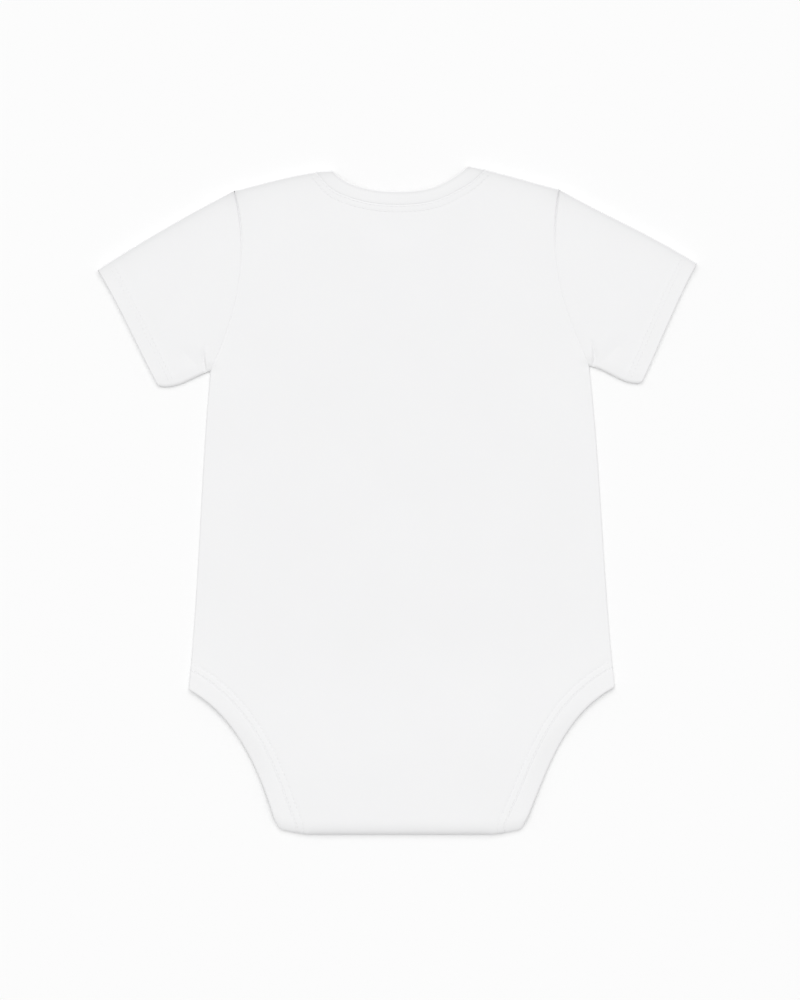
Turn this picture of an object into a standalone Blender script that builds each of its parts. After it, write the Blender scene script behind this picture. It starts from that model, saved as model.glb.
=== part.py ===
"""A baby's short-sleeved bodysuit, laid flat on its front, so that the back shows.

Each piece that is cut and sewn is one closed solid: a back and a front of jersey, two sleeves, a rib
ring round the neck, a rib strip round each leg opening, and three press snaps at the crotch.

The floor is z = 0 and +Y points to the neck.  The origin is the middle of the footprint.  The front
lies on the floor and the back lies on the front.  At the crotch the back turns under itself as a
flap, and the snaps hold that flap to the tab at the end of the front.

Every sheet of cloth is laid by its middle surface and then thickened to both sides.
"""

import math
from collections import namedtuple

import bpy
import numpy as np
from mathutils import Vector
from mathutils.geometry import delaunay_2d_cdt

MM = 0.001

# Cloth, in metres
JERSEY = 1.2 * MM
RIB = 1.8 * MM
SEAM_GAP = 0.3 * MM

# Height of a rib band's middle where it lies on the floor, a hair clear of it
RIB_ON_FLOOR = RIB / 2 + 0.05 * MM

# Rib bands: their width, and how far they reach along the fold that they turn over
NECK_BAND = 8.2 * MM
NECK_BAND_AT_FOLD = 10.8 * MM
LEG_BAND = 10.6 * MM
LEG_BAND_AT_FOLD = 12.0 * MM
LEG_BAND_AT_CROTCH = 12.0 * MM
BAND_TURN = 14.0 * MM

# Heights of the back layer's underside above the floor
UNDER_AT_EDGE = 1.5 * MM
UNDER_INSIDE = 2.5 * MM
UNDER_AT_CROTCH = 4.8 * MM
UNDER_AT_NECK = 0.9 * MM
UNDER_AT_LEG = 1.2 * MM

# The swell of the back layer: its height, its middle and how far it reaches out and up
SWELL = 0.6 * MM
SWELL_MIDDLE = (0.0, 35.0 * MM)
SWELL_REACH = (75.0 * MM, 120.0 * MM)

# How far each change of that height takes
EDGE_ROLL = 7.0 * MM
DROOP = 18.0 * MM
CROTCH_RISE_TOP = -125.0 * MM
CROTCH_RISE = 50.0 * MM

# Crotch: the fold, the flap under it, the front's tab and the snaps
CROTCH_FOLD = -208.7 * MM
CROTCH_CENTRE = 1.9 * MM
CORNER_LIFT = 3.0 * MM
CORNER_START = 58.0 * MM
CORNER_LENGTH = 17.0 * MM
FLAP_LENGTH = 42.0 * MM
FLAP_TAPER = 4.0 * MM
FLAP_MIDDLE = 3.1 * MM
FLAP_RAMP = 8.0 * MM
SNAP_ROW = -180.0 * MM
SNAP_SPACING = 42.0 * MM
SNAP_HOLE = 2.3 * MM
SNAP_HOLE_SIDES = 12
SNAP_LIFT = 1.0 * MM
SNAP_LIFT_TOP = 5.8 * MM
SNAP_LIFT_RAMP = 8.0 * MM

# A snap's outline, from its inner disc down its post to its cap: (radius, height), in millimetres
SNAP_PROFILE = (
    (0.0, 4.5),
    (3.4, 4.5),
    (3.9, 4.2),
    (3.7, 4.0),
    (1.9, 4.0),
    (1.9, 0.7),
    (4.7, 0.7),
    (5.1, 0.4),
    (4.8, 0.0),
    (0.0, 0.0),
)
SNAP_SIDES = 16

# Spacing of the mesh
BACK_GRID = 9.5 * MM
GRID_WAVE = 0.8 * MM
EDGE_ROWS = (2.2 * MM, 5.4 * MM)
EDGE_ROW_STEP = 8.0 * MM
FOLD_STEPS = 6
BAND_COLUMNS = 3
SLEEVE_ROWS = 12
SLEEVE_COLUMNS = 11

# The garment's corners: out from the centre line and up from the middle, in millimetres
CORNERS = {
    "left": {
        "nape": (0.0, 192.5),
        "throat": (0.0, 153.0),
        "neck": (40.2, 205.3),
        "shoulder": (102.0, 192.7),
        "cuff top": (186.9, 143.6),
        "cuff foot": (149.1, 70.7),
        "underarm": (116.7, 80.4),
        "hip": (130.3, -118.2),
        "crotch": (75.6, -202.4),
        "tab": (72.0, -196.0),
    },
    "right": {
        "nape": (0.0, 192.5),
        "throat": (0.0, 153.0),
        "neck": (44.4, 208.3),
        "shoulder": (100.8, 193.6),
        "cuff top": (186.7, 147.6),
        "cuff foot": (152.2, 72.7),
        "underarm": (119.6, 83.6),
        "hip": (135.5, -116.6),
        "crotch": (79.0, -202.2),
        "tab": (75.5, -196.0),
    },
}

# Each edge runs clockwise from one corner to the next.  Two handles bend it, in millimetres.
Edge = namedtuple("Edge", "start leave arrive end")
EDGES = {
    "left": {
        "back neck": Edge("nape", (12.3, 192.3), (32.3, 195.0), "neck"),
        "front neck": Edge("throat", (23.0, 153.0), (37.5, 178.0), "neck"),
        "shoulder": Edge("neck", (61.4, 204.4), (81.5, 197.7), "shoulder"),
        "armhole": Edge("shoulder", (91.1, 153.7), (100.1, 114.8), "underarm"),
        "sleeve top": Edge("shoulder", (129.5, 178.7), (161.0, 160.7), "cuff top"),
        "cuff": Edge("cuff top", (172.8, 120.1), (161.9, 94.9), "cuff foot"),
        "sleeve under": Edge("cuff foot", (137.5, 68.5), (127.5, 77.0), "underarm"),
        "side": Edge("underarm", (122.7, 14.3), (123.5, -52.2), "hip"),
        "back leg": Edge("hip", (99.4, -135.0), (85.5, -170.6), "crotch"),
        "front leg": Edge("hip", (96.0, -130.0), (75.0, -150.0), "tab"),
    },
    "right": {
        "back neck": Edge("nape", (20.1, 192.4), (28.9, 196.1), "neck"),
        "front neck": Edge("throat", (23.0, 153.0), (41.0, 179.0), "neck"),
        "shoulder": Edge("neck", (63.4, 204.4), (82.0, 198.5), "shoulder"),
        "armhole": Edge("shoulder", (93.3, 149.0), (101.7, 122.7), "underarm"),
        "sleeve top": Edge("shoulder", (129.0, 178.0), (159.4, 164.9), "cuff top"),
        "cuff": Edge("cuff top", (173.5, 123.3), (163.7, 97.6), "cuff foot"),
        "sleeve under": Edge("cuff foot", (141.0, 70.9), (131.8, 81.2), "underarm"),
        "side": Edge("underarm", (127.0, 17.0), (128.2, -50.1), "hip"),
        "back leg": Edge("hip", (102.2, -134.1), (93.3, -170.5), "crotch"),
        "front leg": Edge("hip", (100.0, -128.0), (79.0, -150.0), "tab"),
    },
}

# How many points each curve is worked out with, and how many each edge is drawn with
FINE_POINTS = 200
EDGE_POINTS = {
    "back neck": 9,
    "front neck": 11,
    "shoulder": 8,
    "armhole": 16,
    "sleeve top": SLEEVE_ROWS,
    "cuff": SLEEVE_COLUMNS,
    "sleeve under": SLEEVE_ROWS,
    "side": 19,
    "back leg": 16,
    "front leg": 16,
}

# Troughs in the back layer: a line from one place to another, its half width and its depth
Trough = namedtuple("Trough", "side start end half_width depth")
TROUGHS = (
    Trough("left", (104.0, 112.0), (118.0, 83.0), 4.5, 0.7),
    Trough("left", (122.5, 98.0), (120.0, 82.0), 3.0, 0.6),
    Trough("left", (134.0, 96.0), (121.0, 82.0), 6.0, 0.4),
    Trough("right", (108.0, 112.0), (121.0, 86.0), 4.5, 0.7),
    Trough("right", (124.5, 99.0), (123.0, 86.0), 3.0, 0.6),
    Trough("right", (138.0, 100.0), (124.0, 85.0), 6.0, 0.4),
)

# Colours
WHITE_JERSEY = (0.90, 0.90, 0.905, 1.0)
WHITE_RIB = (0.89, 0.89, 0.895, 1.0)
SNAP_WHITE = (0.86, 0.86, 0.87, 1.0)

SIGN = {"left": -1.0, "right": 1.0}
SIDES = ("left", "right")


# ---- Curves, worked out as if each side lay at +X, in metres ------------------------------------


def ease(share):
    """Goes softly from 0 to 1 as the share does."""
    share = np.clip(share, 0.0, 1.0)
    return share * share * (3.0 - 2.0 * share)


def at_shares(line, shares):
    """The points at some shares of a line's length."""
    reach = np.concatenate(([0.0], np.cumsum(np.linalg.norm(np.diff(line, axis=0), axis=1))))
    at = shares * reach[-1]
    return np.column_stack((np.interp(at, reach, line[:, 0]), np.interp(at, reach, line[:, 1])))


def crowded(count):
    """Shares from 0 to 1 that lie closer together near both ends."""
    return (1.0 - np.cos(np.linspace(0.0, math.pi, count))) / 2


def trim(line, distance):
    """A line without its first stretch."""
    length = np.linalg.norm(np.diff(line, axis=0), axis=1).sum()
    return at_shares(line, np.linspace(distance / length, 1.0, len(line)))


def bend(start, leave, arrive, end, count):
    """Evenly spaced points along a cubic curve with two handles."""
    share = np.linspace(0.0, 1.0, FINE_POINTS)[:, None]
    rest = 1.0 - share
    line = rest**3 * start + 3 * rest**2 * share * leave + 3 * rest * share**2 * arrive + share**3 * end
    return at_shares(line, np.linspace(0.0, 1.0, count))


def edge(side, name):
    """An edge of the garment as a row of points."""
    return at_shares(fine_edge(side, name), np.linspace(0.0, 1.0, EDGE_POINTS[name]))


def fine_edge(side, name):
    """An edge of the garment as a row of many points."""
    row = EDGES[side][name]
    spots = (CORNERS[side][row.start], row.leave, row.arrive, CORNERS[side][row.end])
    return bend(*(np.array(spot) * MM for spot in spots), FINE_POINTS)


def inward(line):
    """Unit directions into the cloth, which is on the right of every edge."""
    along = np.gradient(line, axis=0)
    along /= np.linalg.norm(along, axis=1)[:, None]
    return np.column_stack((along[:, 1], -along[:, 0]))


def inset(line, distance):
    """A line moved into the cloth."""
    return line + inward(line) * distance


def unit(vector):
    """A direction of length 1."""
    return vector / np.linalg.norm(vector)


def to_table(side, line):
    """A line of one side, moved to where that side lies."""
    return line * np.array((SIGN[side], 1.0))


# ---- The height of the back layer ---------------------------------------------------------------


def distance_to(lines, spots):
    """How far each spot is from the nearest of some lines."""
    nearest = np.full(len(spots), np.inf)
    for line in lines:
        for start, end in zip(line[:-1], line[1:]):
            run = end - start
            share = np.clip((spots - start) @ run / (run @ run), 0.0, 1.0)
            gap = np.linalg.norm(spots - start - share[:, None] * run, axis=1)
            nearest = np.minimum(nearest, gap)
    return nearest


def is_inside(outline, spots):
    """Whether each spot lies inside a closed outline."""
    inside = np.zeros(len(spots), dtype=bool)
    for start, end in zip(outline, np.roll(outline, -1, axis=0)):
        if start[1] == end[1]:
            continue
        spans = (start[1] > spots[:, 1]) != (end[1] > spots[:, 1])
        crossing = start[0] + (spots[:, 1] - start[1]) * (end[0] - start[0]) / (end[1] - start[1])
        inside ^= spans & (spots[:, 0] < crossing)
    return inside


def closed_edges():
    """The edges where the back layer meets the layer under it."""
    names = ("shoulder", "sleeve top", "cuff", "sleeve under", "side")
    return [to_table(side, edge(side, name)) for side in SIDES for name in names]


def under_layer():
    """The outline of all that lies under the back layer."""
    names = ("front neck", "shoulder", "sleeve top", "cuff", "sleeve under", "side", "front leg")
    halves = {}
    for side in SIDES:
        half = np.concatenate([edge(side, name)[:-1] for name in names])
        tab = np.array(CORNERS[side]["tab"]) * MM
        foot = np.array((CORNERS[side]["crotch"][0] * MM, CROTCH_FOLD))
        halves[side] = to_table(side, np.vstack((half, tab, foot)))
    return np.concatenate((halves["right"], halves["left"][::-1]))


CLOSED_EDGES = closed_edges()
UNDER_LAYER = under_layer()


def trough_depth(spots):
    """How much the troughs lower each spot."""
    depth = np.zeros(len(spots))
    for row in TROUGHS:
        line = to_table(row.side, np.array((row.start, row.end)) * MM)
        run = line[1] - line[0]
        share = np.clip((spots - line[0]) @ run / (run @ run), 0.0, 1.0)
        gap = np.linalg.norm(spots - line[0] - share[:, None] * run, axis=1)
        depth += row.depth * MM * np.exp(-((gap / (row.half_width * MM)) ** 2)) * ease(2.0 * share)
    return depth


def back_under(spots):
    """The height of the back layer's underside, not yet rolled off at the closed edges."""
    low = spots[:, 1]
    away = (((spots - SWELL_MIDDLE) / SWELL_REACH) ** 2).sum(axis=1)
    height = UNDER_INSIDE + SWELL * np.exp(-away)
    height += (UNDER_AT_CROTCH - UNDER_INSIDE) * ease((CROTCH_RISE_TOP - low) / CROTCH_RISE)
    beyond = np.where(is_inside(UNDER_LAYER, spots), 0.0, distance_to([UNDER_LAYER], spots))
    open_height = np.where(low > 0.0, UNDER_AT_NECK, UNDER_AT_LEG)
    return height + (open_height - height) * ease(beyond / DROOP)


def band_middle(spots):
    """The height of a rib band's middle where it lies on top."""
    return back_under(spots) + JERSEY / 2


def back_middle(spots):
    """The height of the jersey's middle where it lies on top."""
    rolled = ease(distance_to(CLOSED_EDGES, spots) / EDGE_ROLL)
    height = UNDER_AT_EDGE + (back_under(spots) - UNDER_AT_EDGE) * rolled
    height = np.minimum(height, np.maximum(height - trough_depth(spots), UNDER_AT_EDGE))
    return height + JERSEY / 2


# ---- The crotch, where the back turns under -----------------------------------------------------


def crotch_line(x):
    """Where the crotch fold starts to turn.  It is lifted a little at both ends."""
    out = np.abs(x - CROTCH_CENTRE)
    start = CROTCH_FOLD + turn_radius() + RIB / 2
    return start + CORNER_LIFT * ease((out - CORNER_START) / CORNER_LENGTH)


def turn_radius():
    """The radius of the crotch fold's middle surface, from the floor to the back layer."""
    return (UNDER_AT_CROTCH + JERSEY / 2 - RIB_ON_FLOOR) / 2


def flap_end():
    """How far the flap's end lies past the start of the fold, along the cloth."""
    return math.pi * turn_radius() + FLAP_LENGTH


def round_the_crotch(spots, middle):
    """Lays the back's flat pattern: down the back, round the crotch fold and up under it."""
    line = crotch_line(spots[:, 0])
    past = line - spots[:, 1]
    start = np.column_stack((spots[:, 0], line))
    radius = (middle(start) - RIB_ON_FLOOR) / 2
    angle = np.clip(past / radius, 0.0, math.pi)
    beyond = np.maximum(past - math.pi * radius, 0.0)
    y = np.where(past > 0.0, line - radius * np.sin(angle) + beyond, spots[:, 1])
    turned = RIB_ON_FLOOR + radius * (1.0 + np.cos(angle))
    turned += (FLAP_MIDDLE - RIB_ON_FLOOR) * ease(beyond / FLAP_RAMP)
    z = np.where(past > 0.0, turned, middle(spots))
    return np.column_stack((spots[:, 0], y, z))


def snap_places():
    """The middles of the three snaps, seen from above."""
    return [np.array((CROTCH_CENTRE + step * SNAP_SPACING, SNAP_ROW)) for step in (-1, 0, 1)]


def on_the_flap(place):
    """The spot of the back's flat pattern that lies at a place under the fold."""
    line = float(crotch_line(place[0]))
    return np.array((place[0], 2.0 * line - place[1] - math.pi * turn_radius()))


def front_middle(spots):
    """The height of the front's middle: on the floor, but lifted over the snaps' caps."""
    height = np.full(len(spots), JERSEY / 2)
    for place in snap_places():
        gap = np.linalg.norm(spots - place, axis=1)
        height += SNAP_LIFT * (1.0 - ease((gap - SNAP_LIFT_TOP) / SNAP_LIFT_RAMP))
    return height


# ---- Bands, seen from above ---------------------------------------------------------------------


def seam_of(line, fold_end, along, at_fold, width):
    """The sewn edge of a band whose free edge is a line.  Near its fold it turns to lie along it."""
    run = np.linalg.norm(line - line[fold_end], axis=1)
    share = ease(run / BAND_TURN)[:, None]
    direction = along * (1.0 - share) + inward(line) * share
    direction /= np.linalg.norm(direction, axis=1)[:, None]
    return line + direction * (at_fold * (1.0 - share) + width * share)


def fold_depth():
    """How far inside the outline a band starts to turn over a closed edge."""
    return (UNDER_INSIDE + JERSEY / 2 - RIB_ON_FLOOR) / 2 + RIB / 2


def past_fold(line, into):
    """The part of a free edge, from its corner on, that its band passes before it starts to turn."""
    deep = (line - line[0]) @ into
    start = np.interp(fold_depth(), deep, np.linspace(0.0, 1.0, len(line)))
    return at_shares(line, np.linspace(start, 1.0, len(line)))


def free_edge(side, name, top):
    """A free edge on the floor, from where the one on top starts to turn to its own far end."""
    row = EDGES[side][name]
    ends = {row.start: row.leave, row.end: row.arrive}
    corner = "neck" if "neck" in ends else "hip"
    near = ends.pop(corner)
    far, handle = ends.popitem()
    spots = [np.array(spot) * MM for spot in (near, handle, CORNERS[side][far])]
    return bend(top[0], *spots, FINE_POINTS)


def neck_lines(side, name):
    """The free edge and the sewn edge of the neck band, from the centre line to the shoulder fold."""
    shoulder = edge(side, "shoulder")
    along = unit(shoulder[1] - shoulder[0])
    line = past_fold(fine_edge(side, "back neck")[::-1], inward(shoulder)[0])
    if name == "front neck":
        line = free_edge(side, name, line)
    free = at_shares(line[::-1], np.linspace(0.0, 1.0, EDGE_POINTS[name]))
    return free, seam_of(free, -1, along, NECK_BAND_AT_FOLD, NECK_BAND)


def leg_lines(side, name):
    """The free edge and the sewn edge of a leg band, from the hip fold to the crotch."""
    down = edge(side, "side")
    along = unit(down[-2] - down[-1])
    line = past_fold(fine_edge(side, "back leg"), inward(down)[-1])
    if name == "front leg":
        line = free_edge(side, name, line)
    free = at_shares(line, np.linspace(0.0, 1.0, EDGE_POINTS[name]))
    seam = seam_of(free, 0, along, LEG_BAND_AT_FOLD, LEG_BAND)
    level = ease(1.0 - np.linalg.norm(free - free[-1], axis=1) / BAND_TURN)[:, None]
    across = free + np.array((-LEG_BAND_AT_CROTCH, 0.0))
    return free, seam + (across - seam) * level


def flap_lines(side, free_end, seam_end):
    """The two edges of the back leg band past the crotch, with a row at each step of the fold."""
    arc = math.pi * turn_radius()
    turn = np.linspace(0.0, arc, FOLD_STEPS + 1)
    past = np.concatenate((turn, arc + np.linspace(0.0, FLAP_LENGTH, 7)[1:]))
    narrower = FLAP_TAPER * past / flap_end()
    lines = []
    for end in (free_end, seam_end):
        out = end[0] - narrower
        lines.append(np.column_stack((out, crotch_line(SIGN[side] * out) - past)))
    return lines


def whole_back_leg(side):
    """The free edge and the sewn edge of the back leg band, from the hip fold to the flap's end."""
    free, seam = leg_lines(side, "back leg")
    free_flap, seam_flap = flap_lines(side, free[-1], seam[-1])
    return np.concatenate((free[:-1], free_flap)), np.concatenate((seam[:-1], seam_flap))


# ---- Flat patterns ------------------------------------------------------------------------------


def beside(seam, free):
    """The edge of a panel, a seam's gap away from the sewn edge of its band."""
    apart = seam - free
    apart /= np.linalg.norm(apart, axis=1)[:, None]
    return seam + apart * SEAM_GAP


def half_outline(side, neck, leg):
    """One side of a panel's outline, clockwise, from the centre of the neck to the end at the crotch."""
    neck_free, neck_seam = neck
    leg_free, leg_seam = leg
    neck_edge = beside(neck_seam, neck_free)
    leg_edge = beside(leg_seam, leg_free)
    shoulder = edge(side, "shoulder")
    down = edge(side, "side")
    shoulder_start = neck_edge[-1] - inward(shoulder)[0] * fold_depth()
    side_end = leg_edge[0] - inward(down)[-1] * fold_depth()
    shoulder = shoulder[shoulder[:, 0] > shoulder_start[0] + EDGE_ROWS[0]]
    down = down[down[:, 1] > side_end[1] + EDGE_ROWS[0]]
    armhole = inset(edge(side, "armhole"), SEAM_GAP / 2)
    parts = (neck_edge, [shoulder_start], shoulder[:-1], armhole, down[1:], [side_end], leg_edge)
    return np.concatenate(parts)


def both_halves(half):
    """A whole outline from its right and left halves, which both run from the neck down."""
    right = to_table("right", half["right"])
    left = to_table("left", half["left"])
    return np.concatenate((right, left[::-1][:-1]))


def edge_rows(outline):
    """Rows of points just inside the closed edges, where the cloth rolls off."""
    rows = []
    for side in SIDES:
        for name in ("shoulder", "side"):
            line = edge(side, name)
            length = np.linalg.norm(np.diff(line, axis=0), axis=1).sum()
            line = at_shares(line, np.linspace(0.0, 1.0, int(length / EDGE_ROW_STEP)))
            rows += [to_table(side, inset(line, distance)) for distance in EDGE_ROWS]
        rows.append(to_table(side, inset(edge(side, "armhole"), EDGE_ROWS[1])))
    spots = np.concatenate(rows)
    spots = spots[is_inside(outline, spots)]
    closed = np.vstack((outline, outline[:1]))
    return spots[distance_to([closed], spots) > EDGE_ROWS[0] * 0.8]


def crotch_rows():
    """Rows of points along the crotch fold, one for each step of its turn."""
    reach = CORNER_START - CORNER_START % BACK_GRID
    x = CROTCH_CENTRE + np.arange(-reach, reach + BACK_GRID / 2, BACK_GRID)
    steps = np.linspace(0.0, math.pi * turn_radius(), FOLD_STEPS + 1)
    return np.array([(a, b - step) for step in steps for a, b in zip(x, crotch_line(x))])


def lift_rings(place):
    """Rings of points round a snap, where the front is lifted over its cap."""
    middle = SNAP_LIFT_TOP + SNAP_LIFT_RAMP / 2
    radii = (SNAP_LIFT_TOP, middle, SNAP_LIFT_TOP + SNAP_LIFT_RAMP)
    return [ring(place, radius, SNAP_HOLE_SIDES) for radius in radii]


def grid_points(outline, near, spacing):
    """A grid of points inside an outline, clear of it and of the points already there.

    Its lines wave a little, so that no three of its points lie in line.
    """
    low = outline.min(axis=0)
    high = outline.max(axis=0)
    steps = math.floor((CROTCH_CENTRE - low[0]) / spacing)
    x = np.arange(CROTCH_CENTRE - steps * spacing, high[0], spacing)
    y = np.arange(low[1] + spacing, high[1], spacing)
    spots = np.array([(a, b) for b in y for a in x])
    spots += GRID_WAVE * np.sin(spots[:, ::-1] / spacing * 1.3)
    spots = spots[is_inside(outline, spots)]
    closed = np.vstack((outline, outline[:1]))
    spots = spots[distance_to([closed], spots) > spacing / 2]
    gaps = np.linalg.norm(spots[:, None, :] - near[None, :, :], axis=2).min(axis=1)
    return spots[gaps > spacing / 2]


def ring(centre, radius, sides):
    """Points round a circle."""
    turn = np.arange(sides) * math.tau / sides
    return centre + radius * np.column_stack((np.cos(turn), np.sin(turn)))


def cut(outline, inner, holes):
    """Cuts a flat pattern into triangles: its outline, the points inside it and its round holes."""
    loops = [outline] + [ring(centre, SNAP_HOLE, SNAP_HOLE_SIDES) for centre in holes]
    spots = np.concatenate(loops + [inner])
    faces = [list(range(len(outline)))]
    edges = []
    start = len(outline)
    for loop in loops[1:]:
        count = len(loop)
        edges += [(start + step, start + (step + 1) % count) for step in range(count)]
        start += count
    coords = [Vector(spot) for spot in spots]
    found = delaunay_2d_cdt(coords, edges, faces, 1, 1e-7)
    flat = np.array([tuple(spot) for spot in found[0]])
    kept = []
    for face in found[2]:
        middle = flat[face].mean(axis=0)
        if all(np.linalg.norm(middle - centre) > SNAP_HOLE for centre in holes):
            kept.append(face)
    return flat, kept


# ---- Making the objects -------------------------------------------------------------------------


def clear_scene():
    """Removes whatever the scene holds."""
    for item in list(bpy.data.objects):
        bpy.data.objects.remove(item, do_unlink=True)


def make_material(name, colour, roughness):
    """A material with one colour."""
    material = bpy.data.materials.new(name)
    material.use_nodes = True
    shader = material.node_tree.nodes["Principled BSDF"]
    shader.inputs["Base Color"].default_value = colour
    shader.inputs["Roughness"].default_value = roughness
    shader.inputs["Metallic"].default_value = 0.0
    return material


def make_object(name, mesh, material, collection):
    """An object of a mesh, in the garment's collection."""
    piece = bpy.data.objects.new(name, mesh)
    piece.data.materials.append(material)
    collection.objects.link(piece)
    return piece


def make_cloth(name, points, faces, wall, material, collection):
    """A sheet of cloth from its middle surface, thickened to both sides."""
    mesh = bpy.data.meshes.new(name)
    mesh.from_pydata([tuple(point) for point in points], [], faces)
    mesh.update()
    piece = make_object(name, mesh, material, collection)
    thicken = piece.modifiers.new("Wall", "SOLIDIFY")
    thicken.thickness = wall
    thicken.offset = 0.0
    thicken.use_even_offset = True
    mesh.shade_smooth()
    mesh.set_sharp_from_angle(angle=math.radians(50.0))
    return piece


def woven_faces(rows, columns, closed):
    """The faces of a grid of points, row after row, with its ends joined if it is closed."""
    faces = []
    for row in range(rows if closed else rows - 1):
        for column in range(columns - 1):
            here = row * columns + column
            there = (row + 1) % rows * columns + column
            faces.append((here, here + 1, there + 1, there))
    return faces


def across(free, seam):
    """Rows of points across a band, from its free edge to its sewn edge."""
    shares = np.linspace(0.0, 1.0, BAND_COLUMNS)
    return np.array([[a + (b - a) * share for share in shares] for a, b in zip(free, seam)])


def lay_flat(side, rows):
    """Moves each row to where its side lies."""
    return [to_table(side, row) for row in rows]


def lay_rows(side, rows, lay):
    """Lays each row of a band where its side lies, with a function that gives it height."""
    return [lay(row) for row in lay_flat(side, rows)]


def on_top(spots):
    """A band that lies on top."""
    return np.column_stack((spots, band_middle(spots)))


def on_floor(spots):
    """A band that lies on the floor."""
    return np.column_stack((spots, np.full(len(spots), RIB_ON_FLOOR)))


def bulge(side, corner, free_end, into):
    """The way each point across a band swings out as it turns: to the corner at its free edge."""
    shares = np.linspace(0.0, 1.0, BAND_COLUMNS)[:, None]
    to_corner = (corner - free_end) / fold_depth()
    return to_table(side, to_corner * (1.0 - shares) - into * shares)


def over_edge(upper, lower, outward):
    """The rows of a band where it turns over a closed edge, between its upper and its lower row."""
    rows = []
    middle = (upper + lower) / 2
    radius = (upper[:, 2] - lower[:, 2]) / 2
    for step in range(1, FOLD_STEPS):
        angle = math.pi * step / FOLD_STEPS
        row = middle.copy()
        row[:, :2] += radius[:, None] * math.sin(angle) * outward
        row[:, 2] += radius * math.cos(angle)
        rows.append(row)
    return rows


def half_neck_rows(side):
    """Half of the neck ring: from the nape, over the shoulder fold, to the throat."""
    free, seam = neck_lines(side, "back neck")
    back = lay_rows(side, across(free, seam), on_top)
    front = lay_rows(side, across(*neck_lines(side, "front neck")), on_floor)[::-1]
    shoulder = edge(side, "shoulder")
    outward = bulge(side, shoulder[0], free[-1], inward(shoulder)[0])
    lowest = back[-1].copy()
    lowest[:, 2] = RIB_ON_FLOOR
    return back + over_edge(back[-1], lowest, outward) + front


def make_neck_band(material, collection):
    """The rib ring round the neck."""
    right = half_neck_rows("right")
    left = half_neck_rows("left")
    rows = right + left[::-1][1:-1]
    points = np.concatenate(rows)
    faces = woven_faces(len(rows), BAND_COLUMNS, True)
    return make_cloth("neck_band", points, faces, RIB, material, collection)


def make_leg_band(side, material, collection):
    """The rib strip of one leg: from the flap's end, up the back leg, round the hip, to the tab."""
    def lay_back(spots):
        return round_the_crotch(spots, band_middle)

    free, seam = whole_back_leg(side)
    back = lay_rows(side, across(free, seam), lay_back)[::-1]
    front = lay_rows(side, across(*leg_lines(side, "front leg")), on_floor)
    down = edge(side, "side")
    outward = bulge(side, down[-1], free[0], inward(down)[-1])
    lowest = back[-1].copy()
    lowest[:, 2] = RIB_ON_FLOOR
    rows = back + over_edge(back[-1], lowest, outward) + front
    points = np.concatenate(rows)
    faces = woven_faces(len(rows), BAND_COLUMNS, False)
    return make_cloth("leg_band_" + side, points, faces, RIB, material, collection)


def make_back_panel(material, collection):
    """The back, from the shoulders down, round the crotch fold and under to the flap's end."""
    half = {}
    for side in SIDES:
        half[side] = half_outline(side, neck_lines(side, "back neck"), whole_back_leg(side))
    outline = both_halves(half)
    holes = [on_the_flap(place) for place in snap_places()]
    near = np.concatenate((edge_rows(outline), crotch_rows()))
    grid = grid_points(outline, np.concatenate((near, holes)), BACK_GRID)
    flat, faces = cut(outline, np.concatenate((near, grid)), holes)
    points = round_the_crotch(flat, back_middle)
    return make_cloth("back_panel", points, faces, JERSEY, material, collection)


def make_front_panel(material, collection):
    """The front, flat on the floor, from the shoulders to the tab's end."""
    half = {}
    for side in SIDES:
        half[side] = half_outline(side, neck_lines(side, "front neck"), leg_lines(side, "front leg"))
    outline = both_halves(half)
    holes = snap_places()
    near = np.concatenate([rise for place in holes for rise in lift_rings(place)])
    flat, faces = cut(outline, near, holes)
    points = np.column_stack((flat, front_middle(flat)))
    return make_cloth("front_panel", points, faces, JERSEY, material, collection)


def sleeve_patch(side):
    """A sleeve seen from above: rows from armhole to cuff, each from its top fold to its seam."""
    depth = (UNDER_AT_EDGE + JERSEY) / 2
    down = crowded(SLEEVE_COLUMNS)
    out = crowded(SLEEVE_ROWS)
    armhole = at_shares(trim(inset(edge(side, "armhole"), -SEAM_GAP / 2), depth), down)
    cuff = at_shares(trim(edge(side, "cuff"), depth), down)
    top = at_shares(inset(edge(side, "sleeve top"), depth), out)
    under = at_shares(edge(side, "sleeve under")[::-1], out)
    top[0] = armhole[0]
    top[-1] = cuff[0]
    under[0] = armhole[-1]
    under[-1] = cuff[-1]
    rows = []
    for share, high, low in zip(out, top, under):
        straight = np.outer(1.0 - down, high) + np.outer(down, low)
        ends = (1.0 - share) * armhole + share * cuff
        corners = (1.0 - share) * (np.outer(1.0 - down, top[0]) + np.outer(down, under[0]))
        corners += share * (np.outer(1.0 - down, top[-1]) + np.outer(down, under[-1]))
        rows.append(straight + ends - corners)
    rows[-1][-1] = (rows[-1][-1] + rows[-1][-2] + rows[-2][-1]) / 3
    return rows


def make_sleeve(side, material, collection):
    """A sleeve: its upper layer, the fold along its top and its lower layer on the floor."""
    patch = sleeve_patch(side)
    upper = [np.column_stack((spots, back_middle(spots))) for spots in lay_flat(side, patch)]
    lower = [np.column_stack((spots, np.full(len(spots), JERSEY / 2))) for spots in lay_flat(side, patch)]
    outward = to_table(side, -inward(at_shares(edge(side, "sleeve top"), crowded(SLEEVE_ROWS))))
    rows = []
    for high, low, away in zip(upper, lower, outward):
        turn = [step[0] for step in over_edge(high[:1], low[:1], away)]
        rows.append(np.concatenate((high[::-1], turn, low)))
    points = np.concatenate(rows)
    faces = woven_faces(len(rows), len(rows[0]), False)
    return make_cloth("sleeve_" + side, points, faces, JERSEY, material, collection)


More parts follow.
